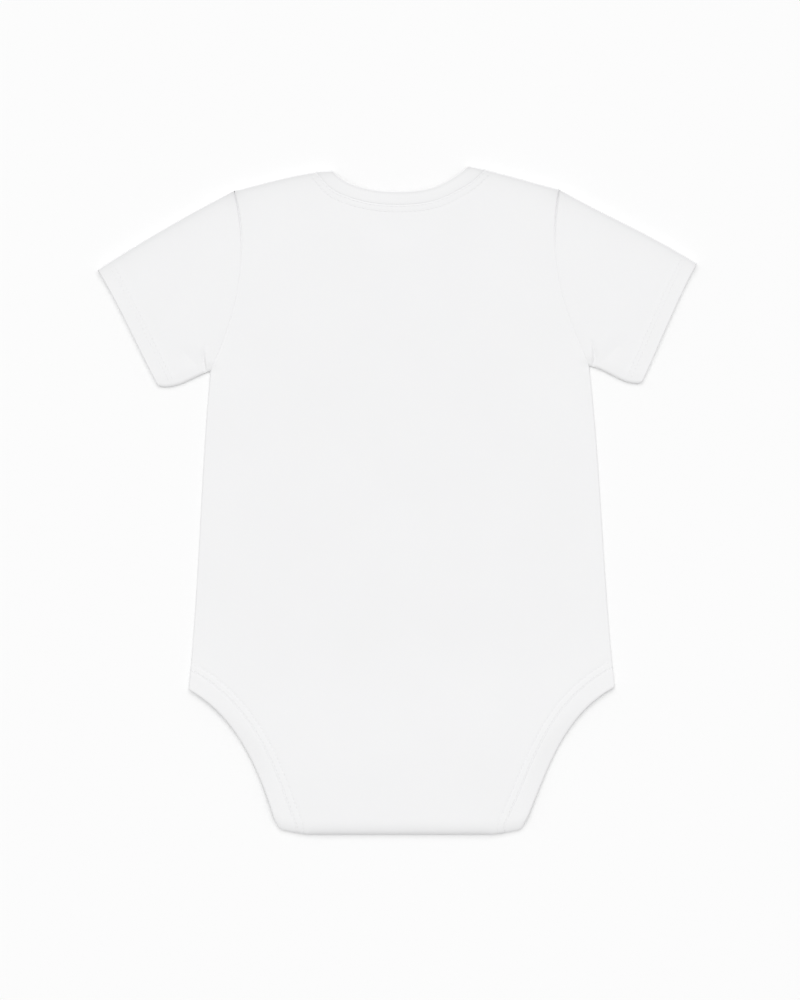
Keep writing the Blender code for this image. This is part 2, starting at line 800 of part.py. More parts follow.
def make_snap(name, place, material, collection):
    """A closed press snap: cap, post and inner disc, turned in one piece."""
    mesh = bpy.data.meshes.new(name)
    points = [(radius * MM, 0.0, height * MM) for radius, height in SNAP_PROFILE]
    mesh.from_pydata(points, [(step, step + 1) for step in range(len(points) - 1)], [])
    piece = make_object(name, mesh, material, collection)
    turn = piece.modifiers.new("Turn", "SCREW")
    turn.axis = "Z"
    turn.angle = math.tau
    turn.steps = SNAP_SIDES
    turn.render_steps = SNAP_SIDES
    turn.use_merge_vertices = True
    turn.merge_threshold = 0.00001
    piece.location = (place[0], place[1], 0.0)
    return piece


def main():
    """Builds the bodysuit."""
    clear_scene()
    collection = bpy.data.collections.new("Bodysuit")
    bpy.context.scene.collection.children.link(collection)
    garment = bpy.data.objects.new("Garment", None)
    collection.objects.link(garment)
    pieces = [
        make_back_panel(make_material("Back jersey", WHITE_JERSEY, 0.85), collection),
        make_front_panel(make_material("Front jersey", WHITE_JERSEY, 0.85), collection),
        make_neck_band(make_material("Neck rib", WHITE_RIB, 0.85), collection),
    ]
    for side in SIDES:
        jersey = make_material("Sleeve jersey " + side, WHITE_JERSEY, 0.85)
        rib = make_material("Leg rib " + side, WHITE_RIB, 0.85)
        pieces.append(make_sleeve(side, jersey, collection))
        pieces.append(make_leg_band(side, rib, collection))
    for name, place in zip(("left", "middle", "right"), snap_places()):
        plastic = make_material("Snap " + name, SNAP_WHITE, 0.35)
        pieces.append(make_snap("snap_" + name, place, plastic, collection))
    for piece in pieces:
        piece.parent = garment


if __name__ == "__main__":
    main()
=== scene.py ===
import math
from collections import namedtuple

import bmesh
import bpy
import numpy as np
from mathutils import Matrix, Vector
from mathutils.geometry import delaunay_2d_cdt


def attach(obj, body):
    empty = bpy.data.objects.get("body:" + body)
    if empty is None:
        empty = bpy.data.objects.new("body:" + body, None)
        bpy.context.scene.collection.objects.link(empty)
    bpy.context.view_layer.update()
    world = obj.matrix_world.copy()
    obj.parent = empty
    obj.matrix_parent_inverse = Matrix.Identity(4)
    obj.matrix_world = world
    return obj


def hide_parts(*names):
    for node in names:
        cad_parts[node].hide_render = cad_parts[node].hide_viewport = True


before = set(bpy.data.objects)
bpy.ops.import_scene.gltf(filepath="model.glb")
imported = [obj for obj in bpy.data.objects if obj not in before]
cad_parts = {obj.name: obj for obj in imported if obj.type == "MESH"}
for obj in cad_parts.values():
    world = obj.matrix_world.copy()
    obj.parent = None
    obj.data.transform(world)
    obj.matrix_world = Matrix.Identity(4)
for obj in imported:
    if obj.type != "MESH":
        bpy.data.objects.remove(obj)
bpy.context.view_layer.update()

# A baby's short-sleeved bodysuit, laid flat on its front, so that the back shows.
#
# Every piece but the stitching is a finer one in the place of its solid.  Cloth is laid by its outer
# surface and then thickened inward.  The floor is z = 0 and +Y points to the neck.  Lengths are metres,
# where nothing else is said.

bl_info = {
    "name": "Baby bodysuit, laid flat",
    "version": (1, 0, 0),
    "blender": (4, 5, 0),
    "location": "View3D > Sidebar > Bodysuit",
    "description": "Makes the sewn pieces of a baby's bodysuit, its stitching, its snaps and a plain stage",
    "category": "Object",
}

MM = 0.001

# ---- Sizes that the solids share ----

# Rib bands: their width, how wide they are along the fold that they turn over and at the crotch, and
# how far they take to become so
NECK_BAND = 8.2 * MM
NECK_BAND_AT_FOLD = 10.8 * MM
LEG_BAND = 10.6 * MM
LEG_BAND_AT_FOLD = 12.0 * MM
LEG_BAND_AT_CROTCH = 12.0 * MM
BAND_TURN = 14.0 * MM

# Heights of the back layer's underside above the floor, how far its face lies above that, the swell in
# its middle, how far it droops past the layers under it, where and over what length it rises to the
# crotch, and how much less it rises towards the legs
UNDER_INSIDE = 1.6 * MM
UNDER_AT_CROTCH = 4.2 * MM
UNDER_AT_NECK = 1.3 * MM
UNDER_AT_LEG = 0.5 * MM
FACE_RISE = 1.2 * MM
SWELL = 0.6 * MM
SWELL_MIDDLE = (0.0, 35.0 * MM)
SWELL_REACH = (75.0 * MM, 120.0 * MM)
DROOP = 18.0 * MM
CROTCH_RISE_TOP = -85.0 * MM
CROTCH_RISE = 92.0 * MM
SIDE_DROP = 1.25 * MM
SIDE_DROP_START = 45.0 * MM
SIDE_DROP_REACH = 30.0 * MM

# Crotch: the fold, the flap under it, with its share of the drop towards the sides, and the snaps
CROTCH_FOLD = -208.7 * MM
CROTCH_CENTRE = 1.9 * MM
CORNER_START = 57.0 * MM
CORNER_SLOPE = 0.2
CORNER_SOFT = 3.0 * MM
CORNER_TURN = 73.0 * MM
CORNER_ROUND = 110.0
CORNER_END = 77.4 * MM
FLAP_LENGTH = 42.0 * MM
FLAP_TAPER = 4.0 * MM
FLAP_UNDER = 2.7 * MM
FLAP_RAMP = 8.0 * MM
FLAP_DROP = 0.8
SNAP_ROW = -180.0 * MM
SNAP_SPACING = 42.0 * MM
SNAP_HOLE = 2.3 * MM
SNAP_LIFT = 1.0 * MM
SNAP_LIFT_TOP = 5.8 * MM
SNAP_LIFT_RAMP = 8.0 * MM

# The garment's corners on each side: out from the centre line and up from the middle, in millimetres
Sides = namedtuple("Sides", "left right")
CORNERS = {
    "nape": Sides((0.0, 192.5), (0.0, 192.5)),
    "throat": Sides((0.0, 153.0), (0.0, 153.0)),
    "neck": Sides((40.2, 205.3), (44.4, 208.3)),
    "shoulder": Sides((102.0, 192.7), (100.8, 193.6)),
    "cuff top": Sides((186.9, 143.6), (186.7, 147.6)),
    "cuff foot": Sides((149.1, 70.7), (152.2, 72.7)),
    "underarm": Sides((116.7, 80.4), (119.6, 83.6)),
    "hip": Sides((130.3, -118.2), (135.5, -116.6)),
    "crotch": Sides((75.6, -202.4), (79.0, -202.2)),
    "tab": Sides((72.0, -196.0), (75.5, -196.0)),
}

# Each edge runs clockwise from one corner to the next.  On each side two handles bend it.
Edge = namedtuple("Edge", "start end left right")
EDGES = {
    "back neck": Edge("nape", "neck", ((12.3, 192.3), (32.3, 195.0)), ((20.1, 192.4), (28.9, 196.1))),
    "front neck": Edge("throat", "neck", ((23.0, 153.0), (37.5, 178.0)), ((23.0, 153.0), (41.0, 179.0))),
    "shoulder": Edge("neck", "shoulder", ((61.4, 204.4), (81.5, 197.7)), ((63.4, 204.4), (82.0, 198.5))),
    "armhole": Edge("shoulder", "underarm", ((91.1, 153.7), (100.1, 114.8)), ((93.3, 149.0), (101.7, 122.7))),
    "sleeve top": Edge(
        "shoulder", "cuff top", ((129.5, 178.7), (161.0, 160.7)), ((129.0, 178.0), (159.4, 164.9))
    ),
    "cuff": Edge("cuff top", "cuff foot", ((172.8, 120.1), (161.9, 94.9)), ((173.5, 123.3), (163.7, 97.6))),
    "sleeve under": Edge(
        "cuff foot", "underarm", ((137.5, 68.5), (127.5, 77.0)), ((141.0, 70.9), (131.8, 81.2))
    ),
    "side": Edge("underarm", "hip", ((122.7, 14.3), (123.5, -52.2)), ((127.0, 17.0), (128.2, -50.1))),
    "back leg": Edge("hip", "crotch", ((99.4, -135.0), (85.5, -170.6)), ((102.2, -134.1), (93.3, -170.5))),
    "front leg": Edge("hip", "tab", ((96.0, -130.0), (75.0, -150.0)), ((100.0, -128.0), (79.0, -150.0))),
}

SIGN = {"left": -1.0, "right": 1.0}
SIDES = Sides._fields
SNAPS = ("left", "middle", "right")

# ---- Sizes of the finer form ----

# Height of the seams at the garment's sides and of the folds at its top, how far the lower cloth takes
# to round down from folds and from seams, its height on the floor, the hair's breadth between sewn
# pieces and how far that reaches, and the least height of all
SEAM_HEIGHT = 1.0 * MM
FOLD_HEIGHT = 2.5 * MM
FOLD_UNDER_ROUND = 2.2 * MM
SEAM_UNDER_ROUND = 0.8 * MM
FLOOR_GAP = 0.12 * MM
SEAM_GAP = 0.003 * MM
SEAM_GAP_REACH = 1.5 * MM
PRESSED = 0.03 * MM

# Closed edges: how far the cloth takes to round over, which share of its height it has gained there
# and how far it takes for the rest, then the puff and the sharper rim beside the fold
Roll = namedtuple("Roll", "round share rest puff rim")
ROLLS = {
    "shoulder": Roll(0.6 * MM, 1.0, 1.0 * MM, 1.3 * MM, 0.35 * MM),
    "sleeve top": Roll(0.6 * MM, 1.0, 1.0 * MM, 1.3 * MM, 0.35 * MM),
    "sleeve under": Roll(2.0 * MM, 0.78, 7.0 * MM, 0.0, 0.0),
    "side": Roll(1.1 * MM, 0.6, 6.0 * MM, 0.0, 0.0),
}
PUFF_REACH = 5.0 * MM
RIM_REACH = 0.9 * MM

# Seams in the cloth: how far the edge takes to turn down, how deep it goes, the share of its
# thickness that it keeps there, how far it takes to the whole thickness, and the least it may keep
TURN_DOWN = 0.6 * MM
TURN_DEPTH = 0.04 * MM
PINCHED = 0.3
PINCH_REACH = 1.6 * MM
LEAST_WALL = 0.1

# Beside a band's seam: the ridge over the seam allowance, the stitch rows and the groove of the last one
RIDGE = 0.1 * MM
RIDGE_START = 1.5 * MM
RIDGE_END = (3.2 * MM, 4.9 * MM)
STITCH_ROWS = (1.1 * MM, 4.5 * MM)
STITCH_GROOVE = {"neck": 0.05 * MM, "leg": 0.19 * MM}
STITCH_GROOVE_WIDTH = 0.55 * MM

# The share of the seams' relief that shows on the side that lies on the floor
HIDDEN_RELIEF = 0.5

# Armhole seam: its groove at the shoulder and further down, with the share of the seam over which it
# changes, and the ridge on the sleeve's side, of which a part fades over a share of the seam
ARMHOLE_GROOVE = (1.3 * MM, 0.15 * MM)
ARMHOLE_GROOVE_FADES = 0.45
ARMHOLE_GROOVE_WIDTH = 0.45 * MM
ARMHOLE_RIDGE = 0.2 * MM
ARMHOLE_RIDGE_START = 1.0 * MM
ARMHOLE_RIDGE_END = (4.0 * MM, 6.5 * MM)
ARMHOLE_RIDGE_LOSS = 0.8
ARMHOLE_RIDGE_FADES = 0.6

# Sleeve hem: half its thickness, the share of that at the under seam and how far it takes to open, the
# rows round its fold, its depth, its stitch rows, how it lifts the cloth with a soft step, and how its
# weight presses the sleeve down
HEM_ROUND = 0.55 * MM
HEM_AT_SEAM = 0.2
HEM_CLOSES = 2.4 * MM
HEM_TURN_ROWS = 8
HEM_DEPTH = 11.5 * MM
HEM_ROWS = (7.5 * MM, 10.0 * MM)
HEM_LIFT = 0.2 * MM
HEM_STEP = 3.0 * MM
HEM_SAG = 0.3 * MM
HEM_SAG_REACH = 24.0 * MM

# Sleeve: how far from the armhole it takes its own form, and the size that its mesh is spaced for
SLEEVE_JOIN = 5.0 * MM
SLEEVE_LENGTH = 70.0 * MM
SLEEVE_WIDTH = 95.0 * MM

# Crotch fold: how far the back rounds down above it and up below it, its lowest and its middle height,
# and how many points measure its curve
FOLD_REACH = 8.5 * MM
FOLD_TUCK = 1.8 * MM
FOLD_BOTTOM = 0.15 * MM
FOLD_CENTRE = 1.6 * MM
FOLD_ROWS = 60

# Bands: width, thickness, bead along the free edge and roundness of that edge
Rib = namedtuple("Rib", "width thickness bead round")
RIBS = {
    "neck": Rib(NECK_BAND, 1.5 * MM, 0.32 * MM, 0.5 * MM),
    "leg": Rib(LEG_BAND, 1.4 * MM, 0.0, 1.4 * MM),
}

# How much wider a band is when flat, how far its bead reaches, its step down at the seam and how far
# that reaches, how far it swings out as it turns over a fold, how much it is lifted, its points across
# and its rows round a fold, and how far off its inner side lies on the flat cloth
BAND_BEAD_REACH = 1.3 * MM
BAND_STEP = 0.12 * MM
BAND_STEP_REACH = 1.6 * MM
BAND_FOLD = 0.9 * MM
BAND_LIFT = 0.05 * MM
BAND_COLUMNS = 9
BAND_TURN_ROWS = 22
BAND_INSIDE_APART = 0.02

# A band's cross-section, in shares of its width: where its sewn edge turns, at which share of its
# thickness that starts, the rows close to the seam, where its wider rows start, how far from the lip
# they end, where the rows of its inner side start, past the lip, and end, and the numbers of rows
SEWN_TURN = 0.998
SEWN_DEPTH = 0.7
BY_SEAM = np.linspace(0.97, 0.86, 4)
FACE_START = 0.78
BY_LIP = 0.28
INNER_START = 0.1
INNER_END = 0.96
FACE_ROWS = 5
LIP_ROWS = 6
ROUND_LIP_ROWS = 14

# Ribs: their spacing and relief, from where to where in the band's thickness they fade, how deep they
# show again, as on its inner side, and the rows of points for each
RIB_PITCH = 1.3 * MM
RIB_RELIEF = 0.016 * MM
RIBS_FADE = (0.35, 0.65)
RIBS_INSIDE = 0.8
ROWS_A_RIB = 5

# Creases in the cloth: the places that each runs through, how far it reaches towards the cuff and
# towards the body, and its depth, in millimetres
Crease = namedtuple("Crease", "side places outer inner depth")
CREASES = (
    Crease(
        "left", ((119.6, 98.5), (120.7, 93.0), (120.9, 89.0), (120.5, 85.0), (119.1, 77.0)), 3.0, 1.5, 1.35
    ),
    Crease("left", ((104.0, 112.0), (117.0, 83.0)), 7.0, 7.0, 0.25),
    Crease("left", ((138.0, 97.0), (125.0, 84.0)), 9.0, 9.0, 0.35),
    Crease(
        "right", ((120.0, 101.5), (121.4, 97.2), (122.3, 92.6), (122.6, 89.0), (121.6, 80.5)), 3.0, 1.5, 1.2
    ),
    Crease("right", ((108.0, 112.0), (120.0, 86.0)), 7.0, 7.0, 0.25),
    Crease("right", ((142.0, 101.0), (128.0, 87.0)), 9.0, 9.0, 0.35),
)

# How steep a crease's walls are, how fast it sets in along its length, and how far its line is moved
# to tell its sides apart.  Then the lip on its inner side, as a share of its depth, how far that
# reaches, and how much of the crease shows on the lower cloth.
CREASE_WALL = 1.5
CREASE_START = 1.8
CREASE_NUDGE = 0.1 * MM
CREASE_LIP = 0.2
CREASE_LIP_REACH = 3.5 * MM
CREASE_BELOW = 0.2

# Broad, soft unevenness of the cloth as it lies: place, reach and height, in millimetres
Swell = namedtuple("Swell", "x y reach_x reach_y height")
UNEVEN = (
    Swell(-62.0, 96.0, 38.0, 55.0, 0.30),
    Swell(54.0, 118.0, 44.0, 34.0, 0.24),
    Swell(-18.0, 40.0, 30.0, 60.0, -0.22),
    Swell(78.0, 22.0, 32.0, 48.0, 0.26),
    Swell(-84.0, -28.0, 30.0, 56.0, 0.28),
    Swell(24.0, -62.0, 52.0, 30.0, 0.22),
    Swell(92.0, -82.0, 26.0, 30.0, -0.2),
    Swell(-42.0, -118.0, 40.0, 26.0, -0.24),
    Swell(36.0, -150.0, 34.0, 20.0, 0.22),
    Swell(-150.0, 118.0, 20.0, 26.0, 0.3),
    Swell(152.0, 122.0, 22.0, 28.0, 0.28),
)

# Spacing of the mesh: steps in the cloth, then rows beside edges and seams, in millimetres, and the
# number of points along a curve
ALONG_STEP = 1.4 * MM
GRID_STEP = 2.2 * MM
FRONT_GRID_STEP = 4.0 * MM
SLEEVE_STEP = 0.85 * MM
ROUND_OVER = (0.03, 0.1, 0.22, 0.4, 0.62)
ROUND_ROWS = (0.04, 0.12, 0.28, 0.5, 0.75, 1.1, 1.6, 2.3, 3.3, 4.6)
BAND_SEAM_ROWS = (0.06, 0.16, 0.32, 0.55, 0.85, 1.2, 1.7, 2.5, 3.2, 3.7, 4.1, 4.5, 4.9, 5.3, 6.0, 7.2)
ARMHOLE_ROWS = (0.06, 0.16, 0.32, 0.55, 0.85, 1.3, 2.0, 3.1)
UNDERARM_ROWS = ARMHOLE_ROWS + tuple(3.1 + 0.4 * step for step in range(1, 46))
SLEEVE_ROUND_ROWS = ROUND_ROWS[:7]
UNDERARM_COLUMNS = SLEEVE_ROUND_ROWS + tuple(1.6 + 0.45 * step for step in range(1, 50))
END_ROWS = (0.1, 0.35, 0.9, 1.8)
FINE_POINTS = 240

# How far rows keep from other edges, as a share of their distance from their own, and how far the grid
# keeps from edges and rows, in steps.  Then what counts as the same spot and as no length.
ROW_CLEAR = 1.05
GRID_FROM_EDGE = 0.6
GRID_FROM_ROWS = 0.5
SAME_SPOT = 1e-8
TINY = 1e-12

# Holes for the snaps: their sides, what lies inside them, the rings of points round them and how far
# other points keep off, in shares of their radius
HOLE_SIDES = 20
HOLE_INSIDE = 0.98
HOLE_RINGS = (1.6, 2.4)
HOLE_CLEAR = 2.8

# Spacing of the lines that distances are measured to
UNDER_STEP = 4.0 * MM
CLOSED_STEP = 1.0 * MM
SEAM_STEP = 0.8 * MM
CUFF_STEP = 1.5 * MM
STITCH_PATH_STEP = 0.5 * MM

# Stitches: half the thread's thickness, a stitch's length and pitch, and how far rows keep from closed
# edges.  How deep they lie in the cloth and how far their ends dive, in shares of half the thickness.
# Then, for places along a stitch, the share of its length, its plumpness and its share of the dive.
THREAD = 0.17 * MM
STITCH = 2.1 * MM
STITCH_PITCH = 2.7 * MM
STITCHES_END = 1.6 * MM
STITCHES_SUNK = 0.5
HEM_STITCHES_SUNK = 0.9
STITCH_DIVE = 1.3
STITCH_SHARES = np.array((0.0, 0.12, 0.32, 0.5, 0.68, 0.88, 1.0))
STITCH_PLUMP = np.array((0.25, 0.75, 1.0, 1.0, 1.0, 0.75, 0.25))
STITCH_DIVES = np.array((1.0, 0.35, 0.0, 0.0, 0.0, 0.35, 1.0))
THREAD_SIDES = 6

# A snap's outline, from its inner disc down its post to its cap: (radius, height), in millimetres
SNAP_PROFILE = (
    (1.5, 4.32), (1.9, 4.5), (3.1, 4.5), (3.6, 4.42), (3.9, 4.22), (3.85, 4.06), (3.6, 4.0), (2.0, 4.0),
    (1.9, 3.9), (1.9, 0.8), (2.0, 0.7), (4.6, 0.7), (4.95, 0.62), (5.1, 0.42), (5.0, 0.18), (4.7, 0.04),
    (4.2, 0.0), (2.6, 0.0), (2.2, 0.1),
)
SNAP_SIDES = 48
SNAP_OFF_FLOOR = 0.04 * MM

# The stage: half the floor's width, and the place that the lamp shines from to the middle
FLOOR_HALF = 30.0
LAMP_PLACE = (-0.02, 0.5, 1.0)

# The camera: its picture in pixels, the size of a pixel and the garment's centre line in it, the height
# that the camera's own height is measured from, its sensor and how near and how far it sees
PICTURE_WIDTH = 800
PICTURE_HEIGHT = 1000
METRES_A_PIXEL = 0.6233 * MM
CENTRE_LINE_PIXEL = 397.5
CLOTH_TOP = 3.0 * MM
SENSOR_WIDTH = 36.0
CAMERA_SEES = (0.05, 20.0)


# ---- Curves, worked out as if each side lay at +X ----


def ease(share):
    """Goes softly from 0 to 1 as the share does."""
    share = np.clip(share, 0.0, 1.0)
    return share * share * (3.0 - 2.0 * share)


def rounded(share):
    """Goes from 0 to 1 like the side of a circle: steep at first, level at the end."""
    rest = 1.0 - np.clip(share, 0.0, 1.0)
    return np.sqrt(1.0 - rest * rest)


def reaches(line):
    """How far along a line each of its points lies."""
    steps = np.linalg.norm(np.diff(line, axis=0), axis=1)
    return np.concatenate(([0.0], np.cumsum(steps)))


def at_reaches(line, reach, at):
    """The points at some distances along a line whose points lie at the given reaches."""
    return np.column_stack([np.interp(at, reach, line[:, axis]) for axis in range(line.shape[1])])


def at_shares(line, shares):
    """The points at some shares of a line's length."""
    reach = reaches(line)
    return at_reaches(line, reach, np.asarray(shares) * reach[-1])


def spaced(line, step):
    """Evenly spaced points along a line."""
    count = max(2, round(reaches(line)[-1] / step) + 1)
    return at_shares(line, np.linspace(0.0, 1.0, count))


def bend(start, leave, arrive, end):
    """Evenly spaced points along a cubic curve with two handles."""
    even = np.linspace(0.0, 1.0, FINE_POINTS)
    share = even[:, None]
    rest = 1.0 - share
    line = rest**3 * start + 3 * rest**2 * share * leave + 3 * rest * share**2 * arrive + share**3 * end
    return at_shares(line, even)


def corner_at(side, name):
    """A corner of the garment."""
    return np.array(getattr(CORNERS[name], side)) * MM


def handles(side, name):
    """The two handles of an edge."""
    return np.array(getattr(EDGES[name], side)) * MM


def edge(side, name):
    """An edge of the garment as a row of many points."""
    return bend(corner_at(side, EDGES[name].start), *handles(side, name), corner_at(side, EDGES[name].end))


def unit(vector):
    """A direction of length 1."""
    return vector / np.linalg.norm(vector)


def unit_rows(vectors):
    """Directions of length 1, row by row."""
    return vectors / np.linalg.norm(vectors, axis=1)[:, None]


def inward(line):
    """Unit directions into the cloth, which is on the right of every edge."""
    along = unit_rows(np.gradient(line, axis=0))
    return np.column_stack((along[:, 1], -along[:, 0]))


def inset(line, distance):
    """A line moved into the cloth."""
    return line + inward(line) * distance


def to_table(side, line):
    """A line of one side, moved to where that side lies."""
    return line * np.array((SIGN[side], 1.0))


def nearest(line, spots):
    """How far each spot is from a line, and at which share of its length the line is nearest."""
    gaps = np.full(len(spots), np.inf)
    shares = np.zeros(len(spots))
    reach = reaches(line)
    for step in range(len(line) - 1):
        run = line[step + 1] - line[step]
        share = np.clip((spots - line[step]) @ run / (run @ run), 0.0, 1.0)
        gap = np.linalg.norm(spots - line[step] - share[:, None] * run, axis=1)
        closer = gap < gaps
        gaps[closer] = gap[closer]
        shares[closer] = (reach[step] + share[closer] * (reach[step + 1] - reach[step])) / reach[-1]
    return gaps, shares


def distance_to(lines, spots):
    """How far each spot is from the nearest of some lines."""
    return np.min([nearest(line, spots)[0] for line in lines], axis=0)


def is_inside(outline, spots):
    """Whether each spot lies inside a closed outline."""
    inside = np.zeros(len(spots), dtype=bool)
    for start, end in zip(outline, np.roll(outline, -1, axis=0)):
        if start[1] == end[1]:
            continue
        spans = (start[1] > spots[:, 1]) != (end[1] > spots[:, 1])
        crossing = start[0] + (spots[:, 1] - start[1]) * (end[0] - start[0]) / (end[1] - start[1])
        inside ^= spans & (spots[:, 0] < crossing)
    return inside


# ---- Bands, seen from above ----


def seam_of(line, fold_end, along, at_fold, width):
    """The sewn edge of a band whose free edge is a line.  Near its fold it turns to lie along it."""
    share = ease(np.linalg.norm(line - line[fold_end], axis=1) / BAND_TURN)[:, None]
    direction = unit_rows(along * (1.0 - share) + inward(line) * share)
    return line + direction * (at_fold * (1.0 - share) + width * share)


def past_fold(line, into):
    """The part of a free edge, from its corner on, that its band passes before it starts to turn."""
    deep = (line - line[0]) @ into
    start = np.interp(BAND_FOLD, deep, np.linspace(0.0, 1.0, len(line)))
    return at_shares(line, np.linspace(start, 1.0, len(line)))


def free_edge(side, name, top):
    """A free edge on the floor, from where the one on top starts to turn to its own far end."""
    leave, arrive = handles(side, name)
    if EDGES[name].end == "neck":
        return bend(top[0], arrive, leave, corner_at(side, EDGES[name].start))
    return bend(top[0], leave, arrive, corner_at(side, EDGES[name].end))


def neck_lines(side, name):
    """The free edge and the sewn edge of the neck band, from the centre line to the shoulder fold."""
    shoulder = edge(side, "shoulder")
    along = unit(shoulder[1] - shoulder[0])
    line = past_fold(edge(side, "back neck")[::-1], inward(shoulder)[0])
    if name == "front neck":
        line = free_edge(side, name, line)
    free = line[::-1]
    return free, seam_of(free, -1, along, NECK_BAND_AT_FOLD, NECK_BAND)


def crotch_bottom(x):
    """Where the crotch fold's lowest edge lies.  It rises towards both ends and rounds their corners."""
    out = np.minimum(np.abs(x - CROTCH_CENTRE), CORNER_END)
    rise = np.maximum(out - CORNER_START, 0.0)
    rise = CORNER_SLOPE * rise**2 / (rise + CORNER_SOFT)
    return CROTCH_FOLD + rise + CORNER_ROUND * np.maximum(out - CORNER_TURN, 0.0) ** 2


def leg_lines(side, name):
    """The free edge and the sewn edge of a leg band, from the hip fold to the crotch."""
    down = edge(side, "side")
    along = unit(down[-2] - down[-1])
    line = past_fold(edge(side, "back leg"), inward(down)[-1])
    if name == "front leg":
        line = free_edge(side, name, line)
    seam = seam_of(line, 0, along, LEG_BAND_AT_FOLD, LEG_BAND)
    level = ease(1.0 - np.linalg.norm(line - line[-1], axis=1) / BAND_TURN)[:, None]
    across = line + np.array((-LEG_BAND_AT_CROTCH, 0.0))
    return line, seam + (across - seam) * level


def section_length():
    """The lengths of the crotch fold's outer face above and below its lowest edge, along the cloth."""
    angle = np.linspace(0.0, math.pi / 2, FOLD_ROWS)
    tall = UNDER_AT_CROTCH + FACE_RISE - FOLD_CENTRE
    above = np.column_stack((FOLD_REACH * np.sin(angle), tall * np.cos(angle)))
    below = np.column_stack((FOLD_TUCK * np.sin(angle), (FOLD_CENTRE - FOLD_BOTTOM) * np.cos(angle)))
    return reaches(above), reaches(below[::-1])


ANGLES_ABOVE, ANGLES_BELOW = section_length()
FOLD_ARC = ANGLES_ABOVE[-1] + ANGLES_BELOW[-1]

# How far the flap's end lies past the start of the fold, along the cloth
FLAP_END = FOLD_ARC + FLAP_LENGTH


def crotch_start(x):
    """Where the back starts to round down to the crotch fold."""
    return crotch_bottom(x) + FOLD_REACH


def flap_lines(side, free_end, seam_end):
    """The two edges of the back leg band past the crotch, along the flat cloth."""
    lines = []
    for end in (free_end, seam_end):
        start = crotch_start(SIGN[side] * end[0]) - end[1]
        past = np.linspace(start, FLAP_END, FINE_POINTS)
        out = end[0] - FLAP_TAPER * (past - start) / (FLAP_END - start)
        lines.append(np.column_stack((out, crotch_start(SIGN[side] * out) - past)))
    return lines


def whole_back_leg(side):
    """The free edge and the sewn edge of the back leg band, from the hip fold to the flap's end."""
    free, seam = leg_lines(side, "back leg")
    free_flap, seam_flap = flap_lines(side, free[-1], seam[-1])
    free = np.concatenate((free[:-1], free_flap))
    seam = np.concatenate((seam[:-1], seam_flap))
    return free, seam


# ---- The face of the back layer ----


def under_layer():
    """The outline of all that lies under the back layer."""
    names = ("front neck", "shoulder", "sleeve top", "cuff", "sleeve under", "side", "front leg")
    halves = {}
    for side in SIDES:
        half = np.concatenate([spaced(edge(side, name), UNDER_STEP)[:-1] for name in names])
        foot = np.array((corner_at(side, "crotch")[0], CROTCH_FOLD))
        halves[side] = to_table(side, np.vstack((half, corner_at(side, "tab"), foot)))
    return np.concatenate((halves["right"], halves["left"][::-1]))


def both(line_of, step):
    """A line of the left and of the right side, evenly spaced, where it lies."""
    return [spaced(to_table(side, line_of(side)), step) for side in SIDES]


UNDER_LAYER = under_layer()
CLOSED = {name: both(lambda side: edge(side, name), CLOSED_STEP) for name in ROLLS}
CLOSED["sleeve under"] = both(lambda side: edge(side, "sleeve under"), CLOSED_STEP / 2)
ARMHOLES = dict(zip(SIDES, both(lambda side: edge(side, "armhole"), CLOSED_STEP)))
BACK_SEAMS = {
    "neck": both(lambda side: neck_lines(side, "back neck")[1], SEAM_STEP),
    "leg": both(lambda side: whole_back_leg(side)[1], SEAM_STEP),
}
FRONT_SEAMS = {
    "neck": both(lambda side: neck_lines(side, "front neck")[1], SEAM_STEP),
    "leg": both(lambda side: leg_lines(side, "front leg")[1], SEAM_STEP),
}



# The folds along the garment's top and the seams along its sides
FOLDS = CLOSED["shoulder"] + CLOSED["sleeve top"]
SEWN = CLOSED["side"] + CLOSED["sleeve under"]


def side_drop(x):
    """How much lower the stack of layers at the crotch lies towards the legs."""
    return SIDE_DROP * ease((np.abs(x - CROTCH_CENTRE) - SIDE_DROP_START) / SIDE_DROP_REACH)


def back_under(spots):
    """The height of the back layer's underside, away from its edges."""
    low = spots[:, 1]
    away = (((spots - SWELL_MIDDLE) / SWELL_REACH) ** 2).sum(axis=1)
    height = UNDER_INSIDE + SWELL * np.exp(-away)
    crotch_rise = UNDER_AT_CROTCH - UNDER_INSIDE - side_drop(spots[:, 0])
    height += crotch_rise * ease((CROTCH_RISE_TOP - low) / CROTCH_RISE)
    beyond = np.where(is_inside(UNDER_LAYER, spots), 0.0, distance_to([UNDER_LAYER], spots))
    open_height = np.where(low > 0.0, UNDER_AT_NECK, UNDER_AT_LEG)
    return height + (open_height - height) * ease(beyond / DROOP)


def creased(spots):
    """How much the creases lower each spot."""
    depth = np.zeros(len(spots))
    for row in CREASES:
        line = to_table(row.side, np.array(row.places) * MM)
        gap, share = nearest(line, spots)
        moved = line + np.array((SIGN[row.side] * CREASE_NUDGE, 0.0))
        further_out = nearest(moved, spots)[0] < gap
        reach = np.where(further_out, row.outer, row.inner) * MM
        cross = np.maximum(1.0 - gap / reach, 0.0) ** CREASE_WALL
        lip = np.where(further_out, 0.0, ease(gap / reach) * (1.0 - ease((gap - reach) / CREASE_LIP_REACH)))
        depth += row.depth * MM * (cross - CREASE_LIP * lip) * ease(CREASE_START * share)
    return depth


def uneven(spots):
    """How much the cloth's soft unevenness lifts each spot."""
    lift = np.zeros(len(spots))
    for row in UNEVEN:
        away = ((spots / MM - (row.x, row.y)) / (row.reach_x, row.reach_y)) ** 2
        lift += row.height * MM * np.exp(-away.sum(axis=1))
    return lift


